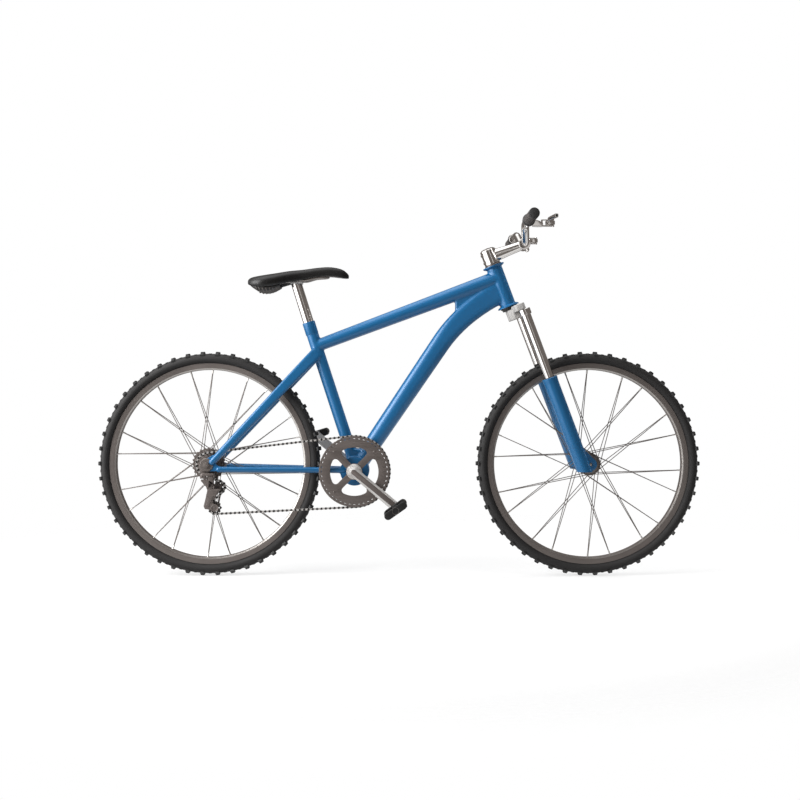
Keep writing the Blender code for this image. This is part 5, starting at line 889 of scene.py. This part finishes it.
def window(facing):
    """A window between two arms of the guard disc, with round outer corners."""
    outer, inner = (math.pi / 4 - math.asin((ARM_HALF_WIDTH + radius) / reach)
                    for reach, radius in WINDOW_CORNERS)
    across = 0.75 * math.pi
    half = [polar(WINDOW_OUTER, outer * k / 6) for k in range(6)]
    turns = ((outer, outer, across), (inner, across, inner + math.pi))
    for (reach, radius), (turn, first, last) in zip(WINDOW_CORNERS, turns):
        half += [polar(radius, first + (last - first) * k / 8, *polar(reach, turn)) for k in range(9)]
    swing = Matrix.Rotation(facing, 2)
    return [tuple(swing @ Vector(spot)) for spot in mirrored([*half, (WINDOW_INNER, 0)])]


windows = [window(quarter * math.pi / 2) for quarter in range(4)]
slots = []
for turn in (ROUND * n / GUARD_SLOTS for n in range(GUARD_SLOTS)):
    middle, reach = Vector(polar(SLOT_CIRCLE, turn)), Vector(polar(2, turn + math.pi / 2))
    slots.append(bar_outline(middle - reach, 0.85, middle + reach, 0.85, 4))
web = [(80, 44.4), (84, 44.4), (94, 48.4), (94, 49.8), (76, 49.8), (76, 48)]
rivet = [(0, 53.4), (2, 53.2), (3.2, 52.4), (3.2, 50), (0, 50)]
rivet = turned(rivet, in_plane(math.pi / 4) * 84 * mm, ACROSS, 16)
shapes = [plate([circle(0, 0, 104.8, 180), circle(0, 0, 14, 48), *windows, *slots], 49.4, 52, place, 0.5, 1),
          plate([toothed(52, tip=0.2), circle(0, 0, 80, 96), *slots], 44, 46, place, 0.3, 1),
          turned(web, BOTTOM_BRACKET, ACROSS, 120), round_axle([rivet], 4, BOTTOM_BRACKET)]
fitted("chainring_disc", shapes, RING_STEEL, "cranks", ["chainring"])


# Pedals. Black moulded bodies with a hollow each side of the barrel and ribbed treads, spinning on
# steel spindles that screw into the cranks; a black cap closes each end inside a grey dust ring.
PEDAL_PLASTIC = finish("pedal_plastic", (0.008, 0.008, 0.008), 0.5, grain=0.2, size=1200, more=DULL)
PEDAL_TILT = {"right": math.radians(35), "left": math.radians(17)}
PEDAL_BARS = ((82.2, 93), (161, 171.8))
PEDAL_RIBS = 9
RIB_START, RIB_GAP = 98, 7.3
bar = [bar_outline((-26, 0), 11, (26, 0), 11, 10), circle(0, 0, 6.4, 24)]
rail = eased([(27, -9.8, 2), (33, -9.4, 3), (36.6, -3, 3), (36.6, 3, 3), (33, 9.4, 3), (27, 9.8, 2)])
rib = [(26.6, -10.9), (33.4, -10.4), (33.4, 10.4), (26.6, 10.9)]
barrel = [(6.4, 82.6), (10.4, 84), (10.4, 104), (9.2, 112), (9.2, 142), (10.4, 150), (10.4, 170),
          (6.4, 171.4)]
cap = [(0, 171.9), (8.4, 171.9), (8.4, 170.4), (0, 170.4)]
spindle = [(0, 170.2), (5.9, 170.2), (5.9, 81.9), (8, 81.9), (8, 76.4), (5.9, 76.4), (5.9, 62.2), (0, 62.2)]
dust_ring = [(8.6, 171.2), (8.7, 172.4), (9.1, 172.8), (10, 172.8), (10.4, 172.4), (10.5, 171.2)]
for side, way in SIDES:
    line = joint_place(f"{side}_pedal_spin")
    line.y = 0
    place = side_on(line, PEDAL_TILT[side])
    body, end_cap, axle, grey_ring = (turned(profile, line, way * ACROSS, 48)
                                      for profile in (barrel, cap, spindle, dust_ring))
    shapes = [body] + [plate(bar, way * low, way * high, place, 2) for low, high in PEDAL_BARS]
    for fore in (-1, 1):
        outline = [(x * fore, y) for x, y in rail[::fore]]
        shapes.append(plate([outline], way * 88, way * 166, place, 1, 1))
        outline = [(x * fore, y) for x, y in rib]
        for middle in (way * (RIB_START + RIB_GAP * n) for n in range(PEDAL_RIBS)):
            shapes.append(plate([outline], middle - 1.5, middle + 1.5, place, 0.5, 1))
    fitted(f"pedal_body_{side}", shapes, PEDAL_PLASTIC, f"{side}_pedal", [f"pedal_{side}"])
    fitted(f"pedal_end_cap_{side}", [end_cap], PEDAL_PLASTIC, f"{side}_pedal")
    fitted(f"pedal_axle_{side}", [axle], BRIGHT_ALLOY, "cranks", [f"pedal_spindle_{side}"])
    fitted(f"pedal_dust_ring_{side}", [grey_ring], GRIP_RUBBER, f"{side}_pedal")


# Seatpost and saddle carrier. A chromed tube with a forged two-bolt head; its jaws hold two steel
# rails that spring the saddle.
POST_TOP = SEAT_TOP + 120 * mm * SEAT_UP
post = turned([(14, -262), (15.8, -262), (15.8, 8), (14, 8)], POST_TOP, SEAT_UP)
fitted("seatpost_tube", [cut_off(post, POST_TOP.z + 0.2 * mm, 1)], CHROME, "main_frame",
       ["seatpost"])
spigot = turned([(0, -22), (13.6, -22), (13.6, 8), (0, 8)], POST_TOP, SEAT_UP)
jaws = [block((-18, -26, 0.5), (18, 26, 7.2), 2.4, POST_TOP, 3),
        block((-16, -25.6, 7.6), (16, 25.6, 14.6), 2.2, POST_TOP, 3),
        cut_off(spigot, POST_TOP.z + 0.6 * mm, 1)]
jaws += [bolt(POST_TOP + step(x, y, 13.2), UP, 3, 1.6) for x in (-10, 10) for y in (-10, 10)]
fitted("saddle_jaws", jaws, CAST_ALLOY, "main_frame", ["saddle_clamp"])


# Saddle. A moulded nylon shell, foam on top and a tight black cover that is drawn over the edge and
# stapled inside. Below the wide end hangs a dark moulded belly with light ribs across it.
SADDLE_COVER = finish("saddle_cover", (0.0045, 0.0043, 0.0042), 0.5, grain=0.12, uneven=0.15,
                      more={**DULL, "Coat Weight": 0.15, "Coat Roughness": 0.18})
SHELL_NYLON = finish("shell_nylon", (0.150, 0.130, 0.120), 0.5, grain=0.2, size=1100)
BELLY_NYLON = finish("belly_nylon", (0.014, 0.013, 0.012), 0.5, grain=0.2, size=1100)
# distance forwards, half width, heights of the crown and the skirt, and rise of the underside
STATIONS = ((-140, 40, 15, -5, 3), (-128, 60, 20.5, -12, 18), (-96, 75, 26.5, -16, 24),
            (-60, 66, 32.5, -11, 26), (-20, 46, 39.5, -1, 23), (20, 32, 43.5, 8, 17), (60, 26, 49, 18, 10),
            (100, 23, 51.5, 21, 8), (135, 19, 45, 17, 8), (152, 12, 33, 16, 5), (157, 6, 26, 18, 2))
TAIL = Vector((-143.6, 32, 10, 0, 2))
CROWN = ((0.9, 0), (0.985, 0.18), (1, 0.42), (0.94, 0.64), (0.8, 0.81), (0.6, 0.915), (0.36, 0.975), (0, 1))
UNDERSIDE = ((0, 1), (0.4, 0.974), (0.78, 0.63), (0.9, 0))
# distance forwards, half width, and heights of the rim and the lowest point
BELLY = ((-134, 38, -2, -8), (-122, 50, -8, -17), (-108, 57, -12, -23.5), (-92, 59, -13, -25.5),
         (-76, 56, -12, -23.5), (-62, 50, -9, -18.5), (-48, 42, -5, -11))
BELLY_BENDS = ((1, 0), (0.985, 12), (0.95, 30), (0.87, 55), (0.7, 80), (0.4, 90), (0, 90))


def under_height(skirt, rise, share):
    """Height of the cover's hollow underside at a share of its half width."""
    for (low, near), (high, far) in zip(UNDERSIDE, UNDERSIDE[1:]):
        if share <= high:
            return skirt + rise * (near + (far - near) * (share - low) / (high - low))


def both_sides(half):
    return half + [(-y, z) for y, z in reversed(half) if y]


def at_saddle(forward, outline):
    return [POST_TOP + step(forward, y, z) for y, z in outline]


skin = []
for forward, width, top, skirt, rise in [TAIL, *curved(STATIONS, 4)]:
    over = [(width * out, skirt + (top - skirt) * up) for out, up in CROWN]
    under = [(-width * share, under_height(skirt, rise, share)) for share in (0.84, 0.78, 0.6, 0.4, 0.2, 0)]
    skin.append(at_saddle(forward, both_sides(over) + both_sides(under)))
cover = linked(joined([loft(skin)]))
smoothed(cover, "drawn", 0.4, 2)
fine = cover.modifiers.new("fine", "SUBSURF")
fine.levels = fine.render_levels = 1
cover = fitted("saddle_cover_skin", [plain_mesh(cover)], SADDLE_COVER, "main_frame",
               ["saddle_cover"], crease=70)
shell = []
for forward, width, _, skirt, rise in curved(STATIONS[1:-2], 4):
    half = [(width * share, under_height(skirt, rise, share) - 0.4) for share in (0, 0.2, 0.4, 0.6, 0.77)]
    upper = [(-y, z) for y, z in reversed(half[1:])] + half
    shell.append(at_saddle(forward, upper + [(y, z - 2.6) for y, z in reversed(upper)]))
belly = []
for forward, width, high, low in BELLY:
    half = [(share * width, high + (low - high) * math.sin(math.radians(turn)) ** 0.7)
            for share, turn in BELLY_BENDS]
    outer = both_sides(half)
    belly.append(at_saddle(forward, outer + [(y * 0.95, z + 2.4) for y, z in reversed(outer)]))
belly = list(zip(*[curved(column, 5) for column in zip(*belly)]))
fitted("saddle_belly", [loft(belly)], BELLY_NYLON, "main_frame")
shapes = [loft(shell)]
for row in belly[9:-3:3]:
    for side in (row[0:6], row[7:13]):
        line = [spot + step(-3.5 * k / 5) for k, spot in enumerate(side)]
        shapes.append(swept(line, [0.8, 1.5, 1.5, 1.5, 1.5, 0.8], 8))
fitted("saddle_base_shell", shapes, SHELL_NYLON, "main_frame", ["saddle_shell"])


# Saddle rails. One bent steel wire, held in the jaws of the seatpost and sprung into sockets under
# the wide end and the nose of the shell.
RAIL_STEEL = finish("rail_steel", (0.30, 0.275, 0.255), 0.35, 0.6, grain=0.04, size=2200)
RAIL_RADIUS = 3.6
RAIL_LEVEL = 9.5
under_shell = (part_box("saddle_rails")[1].z - POST_TOP.z) / mm - RAIL_RADIUS
half = [(-97, 24, under_shell), (-78, 23, 15), (-60, 22.4, 11), (-36, 21.4, RAIL_LEVEL),
        (-21, 21, RAIL_LEVEL), (21, 21, RAIL_LEVEL), (34, 20, RAIL_LEVEL + 1), (60, 14, 17),
        (86, 9, under_shell - 1), (94, 4, under_shell), (95.5, 0, under_shell)]
route = [POST_TOP + step(*spot) for spot in half + [(x, -y, z) for x, y, z in reversed(half[:-1])]]
fitted("saddle_rail_wire", [swept(curved(route, 4), RAIL_RADIUS, 20)], RAIL_STEEL, "main_frame",
       ["saddle_rails"])


# Rear derailleur. A cast body bolts to the hanger below the axle; two forged links carry the knuckle
# from it, all four corners turning on steel pins. The knuckle holds the pulley cage.
DERAILLEUR_ALLOY = finish("derailleur_alloy", (0.128, 0.108, 0.099), 0.45, 0.3, grain=0.08, size=1700,
                          uneven=0.1)
HANGER_BOLT = REAR_AXLE + step(-8, 0, -31)
LINKS_TOP = Vector((REAR_AXLE.x + 14 * mm, 0, joint_place("derailleur_swing").z))
LINK_LENGTH = 35
LINK_LINES = {"outer": 78, "inner": 67}
GUIDE, TENSION = joint_place("guide_pulley_spin"), joint_place("tension_pulley_spin")
GUIDE.y = TENSION.y = 0
pin = mirrored([(0, 10.3), (1.9, 10.1), (2.4, 9.4), (2, 9.3)])


def link_ends(level, low, high, outer):
    """The two link pins at one level, and the upright lugs in front of the links and behind them."""
    made = [turned(pin, LINKS_TOP + step(0, -offset, level), (1, 0, 0), 16) for offset in LINK_LINES.values()]
    return made + [block((start, -outer, low), (start + 3, -62.3, high), 0.7, LINKS_TOP)
                   for start in (-10.3, 7.3)]


outline = eased([(-2, -16, 2), (-2, -39, 6), (-16, -39, 6), (-19, -12, 6), (-12, -8, 3)])
hanger = plate([outline, circle(-8, -31, 4.2)], DROPOUT_INNER, 73.4, side_on(REAR_AXLE), 0.8)
fitted("derailleur_hanger", [hanger], DERAILLEUR_ALLOY, "main_frame")
boss = [(0, 84.6), (2.8, 84.6), (2.8, 86.2), (5.4, 86.2), (6.6, 85.4), (8, 84.6), (8, 74.4), (7.4, 73.8),
        (0, 73.8)]
reach = LINKS_TOP - HANGER_BOLT + step(7, 0, 3.4)
arm = bar_outline((0, 3.4), 4.4, *flat([reach]), 2.8, 8)
shapes = [turned(boss, HANGER_BOLT, ACROSS, 48), *link_ends(0, -5, 6, 83),
          turned([(0, 74), (4, 74), (4, 67.6), (0, 67.6)], HANGER_BOLT, ACROSS, 24),
          plate([arm], 82.7, 86, side_on(HANGER_BOLT), 0.9)]
fitted("derailleur_mount", shapes, DERAILLEUR_ALLOY, "main_frame", ["derailleur_body"])
across = Matrix.Translation(LINKS_TOP) @ Matrix(((0, 0, 1), (1, 0, 0), (0, 1, 0))).to_4x4()
cover = [(-6.8, -12.6, 5), (6.9, -19, 6), (6.9, -38.4, 2.6), (-8.4, -39, 3), (-29.6, -15.4, 2.6),
         (-27.6, -11.4, 2.2)]
cover = eased([(LINKS_TOP.x / mm + x, LINKS_TOP.z / mm + y, r) for x, y, r in cover])
for which, offset in LINK_LINES.items():
    outline = bar_outline((-offset, 0), 4.2, (-offset, -LINK_LENGTH), 4.2, 10)
    holes = [circle(-offset, level, 2.05, 16) for level in (0, -LINK_LENGTH)]
    shapes = [plate([outline, *holes], -7, 7, across, 0.8)]
    if which == "outer":
        shapes.append(plate([cover], offset + 0.6, offset + 4.2, side_on(Vector()), 1.1, 3))
    fitted(f"derailleur_{which}_arm", shapes, DERAILLEUR_ALLOY, f"{which}_link",
           [f"derailleur_{which}_link"])

# the knuckle, with the boss that the cage turns in
roof = -LINK_LENGTH - 4.7
back, front = ((corner.x - LINKS_TOP.x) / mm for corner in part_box("derailleur_knuckle"))
housing = eased([(back, roof, 1.2), (back, roof - 7, 3), (front - 2, roof - 7, 3), (front, roof - 4, 2),
                 (front, roof, 1.2)])
skirt = eased([(-566, 240, 4), (-536, 246, 4), (-530, 261, 1.5), (-561, 261, 1.5)])
boss = [(2.6, 52.8), (7.4, 52.8), (8, 53.4), (8, 61), (7, 62), (2.6, 62)]
shapes = [plate([housing], 52.8, 82.8, side_on(LINKS_TOP), 1),
          *link_ends(-LINK_LENGTH, roof - 2, 5 - LINK_LENGTH, 82.8),
          plate([skirt], 79.8, 82.6, side_on(Vector()), 1, 3), turned(boss, GUIDE, ACROSS, 40)]
fitted("derailleur_knuckle_block", shapes, DERAILLEUR_ALLOY, "knuckle", ["derailleur_knuckle"])

# the cage: a broad pressed plate outside, a slim one inside, and the two pulley bolts between
outline = eased([(5.5, -6, 6), (-3, -20, 12), (-17, -38, 6), (-17, -47, 4), (-4.4, -52, 5), (-2.2, -61, 6),
                 (-6, -70.4, 6), (-19.6, -70.6, 5), (-30, -65.8, 5), (-41, -64.5, 4), (-44.5, -56, 4),
                 (-28.5, 9, 5), (13.5, 11, 4)])
rib = eased([(-8, -10, 10), (-30, -58.6, 3), (-37.6, -56, 3), (-22.5, 4.6, 4), (4, 6, 3)])
cap = [(0, 54.6), (3, 54.6), (3.4, 53.8), (8.6, 53.4), (10.2, 54.4), (11.2, 54), (11.6, 52), (0, 52)]
shapes = [plate([outline], 50.2, 52.2, side_on(GUIDE), 0.7), plate([rib], 51.8, 53, side_on(GUIDE), 0.7, 3),
          turned(cap, TENSION, ACROSS, 48)]
for place, reach in ((GUIDE, 61), (TENSION, 53)):
    shaft = [(0, reach), (2.5, reach), (2.5, 38.2), (4.2, 37.4), (4.2, 36.9), (0, 36.9)]
    shapes.append(turned(shaft, place, ACROSS, 24))
fitted("cage_plate_outer", shapes, DERAILLEUR_ALLOY, "cage", ["cage_outer_plate"])
top, high, low, bottom = flat([GUIDE.lerp(TENSION, share) for share in (0, 0.3, 0.7, 1)])
outlines = [bar_outline(top, 9, bottom, 9, 12), bar_outline(high, 3.6, low, 3.6, 8), circle(*top, 2.5, 24),
            circle(*bottom, 2.5, 24)]
fitted("cage_plate_inner", [plate(outlines, 37.8, 39.8, side_on(Vector()), 0.5)], DERAILLEUR_ALLOY, "cage",
       ["cage_inner_plate"])


# Derailleur pulleys. Nine-tooth nylon wheels with lightening holes, each on a steel bush between two
# dished washers.
PULLEY_NYLON = finish("pulley_nylon", (0.040, 0.035, 0.032), 0.5, grain=0.15, size=1300)
PULLEY_HOLES = 5
outlines = [toothed(9, 1.2, 2.4), circle(0, 0, 4.6)]
outlines += [circle(*polar(11.6, ROUND * n / PULLEY_HOLES), 2.2, 16) for n in range(PULLEY_HOLES)]
hub = [(2.7, 40.2), (6.4, 40.2), (7, 41), (7, 43.9), (4.6, 44.2), (4.6, 45.8), (7, 46.1), (7, 49),
       (6.4, 49.8), (2.7, 49.8)]
for name, place in (("guide", GUIDE), ("tension", TENSION)):
    shapes = [plate(outlines, 43.9, 46.1, side_on(place), 0.3, 1), turned(hub, place, ACROSS, 40)]
    fitted(f"{name}_pulley_wheel", shapes, PULLEY_NYLON, f"{name}_wheel", [f"{name}_pulley"])


# Chain. Steel side plates on rivets and rollers, outer and inner links by turns; it runs over the
# top of the chainring and the sprocket with 17 teeth and back through the two pulleys.
# the side plates' light grey is their steel tone raised as a painted highlight for the glints off their
# waists;
CHAIN_PLATES_PAINTED_GLINT = finish("chain_plates", (0.50, 0.48, 0.46), 0.4, 0.2, grain=0.06, size=2000, uneven=0.1)
# the rivet heads are near-black, giving a dark bead at each pin
CHAIN_RIVETS = finish("chain_rivets", (0.020, 0.018, 0.017), 0.4, 0.3, grain=0.06, size=2000, uneven=0.2)
CHAIN_WHEELS = [(place, pitch_radius(teeth) * mm, way) for place, teeth, way in (
    (BOTTOM_BRACKET, 52, 1), (REAR_AXLE, SPROCKET_TEETH[CHAIN_SPROCKET], 1), (GUIDE, 9, -1), (TENSION, 9, 1))]
HALF_PITCH = CHAIN_PITCH / 2
ARC_STEPS = 32


def chain_joins(first, second):
    """Angles at which a straight run leaves one chain wheel and meets the next."""
    (a, ra, wa), (b, rb, wb) = first, second
    lean = math.acos((ra - wa * wb * rb) / math.hypot(b.x - a.x, b.z - a.z))
    leave = math.atan2(b.z - a.z, b.x - a.x) - wa * lean
    return leave, leave if wa == wb else leave + math.pi


def links_along_a_line():
    """A tree that lays every second link of a chain between its two pins on a closed line."""
    tree, given = geometry_tree("links_along_a_line", (("Line", "Object"), ("Links", "Int"), ("First", "Int"),
                                                       ("Pitch", "Float")))
    line = node(tree, "GeometryNodeObjectInfo", {"Object": given["Line"]}).outputs["Geometry"]
    number = node(tree, "GeometryNodeInputIndex").outputs[0]
    first = arithmetic(tree, "ADD", arithmetic(tree, "MULTIPLY", number, 2), given["First"])
    pins = []
    for later in (0, 1):
        reach = arithmetic(tree, "MULTIPLY", arithmetic(tree, "ADD", first, later), given["Pitch"])
        pin = node(tree, "GeometryNodeSampleCurve", {"Curves": line, "Length": reach}, mode="LENGTH",
                   use_all_curves=True)
        pins.append(pin.outputs["Position"])
    total, run = (node(tree, "ShaderNodeVectorMath", {0: pins[1], 1: pins[0]}, operation=operation).outputs[0]
                  for operation in ("ADD", "SUBTRACT"))
    middle = node(tree, "ShaderNodeVectorMath", {0: total, "Scale": 0.5}, operation="SCALE").outputs[0]
    aim = node(tree, "FunctionNodeAlignRotationToVector", {"Vector": run}, axis="X", pivot_axis="Y")
    count = arithmetic(tree, "DIVIDE", given["Links"], 2)
    return set_out(tree, given["Geometry"], count, middle, aim.outputs[0])


def link_plate(low, high):
    """A side plate with two round ends and a waist, between two distances from the chain's middle."""
    outline = []
    for end in (1, -1):
        outline += [polar(end * 3.6, math.radians(turn), end * HALF_PITCH) for turn in (-62, -31, 0, 31, 62)]
        outline.append((0, 2.4 * end))
    return loft([[step(x, y, z) for x, z in outline] for y in (low, high)])


joins = [chain_joins(*pair) for pair in zip(CHAIN_WHEELS, CHAIN_WHEELS[1:] + CHAIN_WHEELS[:1])]
pitch_line = []
for n, (centre, radius, way) in enumerate(CHAIN_WHEELS):
    start = joins[n - 1][1]
    sweep = way * ((way * (joins[n][0] - start)) % ROUND)
    pitch_line += [centre + radius * in_plane(start + sweep * k / ARC_STEPS) + CHAIN_LINE * mm * ACROSS
                   for k in range(ARC_STEPS + 1)]
length = sum((a - b).length for a, b in zip(pitch_line, pitch_line[1:] + pitch_line[:1]))
LINKS = 2 * round(length / (CHAIN_PITCH * mm) / 2)
loop = bpy.data.curves.new("pitch_line", "CURVE")
loop.dimensions = "3D"
spline = loop.splines.new("POLY")
spline.points.add(len(pitch_line) - 1)
for point, spot in zip(spline.points, pitch_line):
    point.co = (*spot, 1)
spline.use_cyclic_u = True
loop = linked(loop)
outer_plates, inner_plates = ([link_plate(side * low, side * high) for side in (-1, 1)]
                              for low, high in ((2.65, 3.4), (1.55, 2.5)))
rivet = mirrored([(0, 4.2), (2.4, 4.1), (3.5, 3.5)])
rivets = [turned(rivet, step(end * HALF_PITCH), ACROSS, 10) for end in (-1, 1)]
LINK_TREE = links_along_a_line()
for name, material, sets in (("chain_plates", CHAIN_PLATES_PAINTED_GLINT, (outer_plates, inner_plates)),
                             ("chain_rivets", CHAIN_RIVETS, (rivets,))):
    links = [grown(LINK_TREE, shapes, Line=loop, Links=LINKS, First=first, Pitch=length / LINKS)
             for first, shapes in enumerate(sets)]
    fitted(name, links, material, "main_frame", ["chain"], crease=30)
bpy.data.objects.remove(loop, do_unlink=True)


# Studio. A pale floor that fades into white, a broad soft lamp at the rear on the drive side, a weak
# fill in front, a rim lamp ahead on the far side and one above. Two white panels are seen by shiny
# surfaces only, and the camera looks straight across the bicycle.
GROUND = FRONT_AXLE.z - TYRE_RADIUS * mm
CAMERA_PLACE = (0.00315, -3.333, 0.570)
AMBIENT = 0.30
ROOM_COLOUR = (0.190, 0.170, 0.158, 1)
PANEL_COLOUR = (3.2, 3.2, 3.2, 1)
WHITE = (1, 1, 1, 1)
FLOOR_COLOUR = (0.34, 0.34, 0.34, 1)
FLOOR_GLOW = 0.70
FADE_START, FADE_END = 1.05, 1.7
FLOOR_RADIUS = 40000


def sees_background(tree):
    """One for a ray from the camera, a shiny surface or glass, and nothing for diffuse light."""
    path = node(tree, "ShaderNodeLightPath").outputs
    either = arithmetic(tree, "MAXIMUM", path["Is Camera Ray"], path["Is Glossy Ray"])
    return path, arithmetic(tree, "MAXIMUM", either, path["Is Transmission Ray"])


def pale_floor():
    """A matt ground that takes a soft shadow and fades into the white around it."""
    made = bpy.data.materials.new("pale_floor")
    made.use_nodes = True
    tree = made.node_tree
    shader = tree.nodes["Principled BSDF"]
    for name, value in (("Base Color", FLOOR_COLOUR), ("Roughness", 0.95), ("Specular IOR Level", 0),
                        ("Emission Color", WHITE)):
        shader.inputs[name].default_value = value
    _, direct = sees_background(tree)
    tree.links.new(arithmetic(tree, "MULTIPLY", direct, FLOOR_GLOW), shader.inputs["Emission Strength"])
    place = node(tree, "ShaderNodeTexCoord").outputs["Object"]
    far = node(tree, "ShaderNodeVectorMath", {0: place}, operation="LENGTH").outputs["Value"]
    fade = node(tree, "ShaderNodeMapRange", {"Value": far, "From Min": FADE_START, "From Max": FADE_END},
                interpolation_type="SMOOTHSTEP")
    open_air = node(tree, "ShaderNodeBsdfTransparent")
    both = node(tree, "ShaderNodeMixShader", {0: fade.outputs["Result"], 1: shader.outputs[0],
                                              2: open_air.outputs[0]})
    tree.links.new(both.outputs[0], tree.nodes["Material Output"].inputs["Surface"])
    return made


floor = plate([circle(0, 0, FLOOR_RADIUS, 96)], -20, 0, Matrix.Translation((0, 0, GROUND)))
floor.materials.append(pale_floor())
linked(floor, "studio_floor")

world = bpy.context.scene.world or bpy.data.worlds.new("studio")
bpy.context.scene.world = world
world.use_nodes = True
sky = world.node_tree
path, direct = sees_background(sky)
aim = node(sky, "ShaderNodeTexCoord").outputs["Generated"]
panels = []
for towards, low, high in (((-0.92, -0.34, 0), 0.74, 0.9), ((-0.2, 0, 1), 0.7, 1.05)):
    facing = node(sky, "ShaderNodeVectorMath", {0: aim, 1: Vector(towards).normalized()},
                  operation="DOT_PRODUCT").outputs["Value"]
    panels.append(node(sky, "ShaderNodeMapRange", {"Value": facing, "From Min": low, "From Max": high},
                       interpolation_type="SMOOTHSTEP").outputs["Result"])
panel = arithmetic(sky, "MAXIMUM", *panels)
room = node(sky, "ShaderNodeMix", {"Factor": panel, 6: ROOM_COLOUR, 7: PANEL_COLOUR}, data_type="RGBA")
shown = node(sky, "ShaderNodeMix", {"Factor": path["Is Glossy Ray"], 6: WHITE, 7: room.outputs[2]},
             data_type="RGBA")
level = node(sky, "ShaderNodeMapRange", {"Value": direct, "To Min": AMBIENT})
background = sky.nodes["Background"]
sky.links.new(shown.outputs[2], background.inputs["Color"])
sky.links.new(level.outputs["Result"], background.inputs["Strength"])


def lamp(name, place, size, power, mirrored=True):
    """A soft rectangular lamp that aims at the middle of the bicycle."""
    data = bpy.data.lights.new(name, "AREA")
    data.shape = "RECTANGLE"
    data.size, data.size_y = size
    data.energy = power
    made = linked(data, name)
    made.location = place
    made.visible_glossy = mirrored
    made.rotation_euler = (Vector((0, 0, 0.5)) - Vector(place)).to_track_quat("-Z", "Y").to_euler()


lamp("key_lamp", (-2.5, -1.2, 1.65), (1.7, 2.4), 115)
lamp("fill_lamp", (0.85, -3.3, 1.2), (0.5, 2.6), 2.5)
lamp("rim_lamp", (2.8, 1.2, 1.5), (1.2, 2.2), 55, mirrored=False)
lamp("top_lamp", (-0.2, -0.6, 2.9), (2.6, 1), 25, mirrored=False)

view = bpy.data.cameras.new("photograph_view")
view.lens = 50
view.sensor_width = 36
view.shift_y = -15 / 800
camera = linked(view, "photograph_view")
camera.location = CAMERA_PLACE
camera.rotation_euler = (math.pi / 2, 0, 0)
bpy.context.scene.camera = camera
bpy.context.scene.view_settings.view_transform = "Standard"
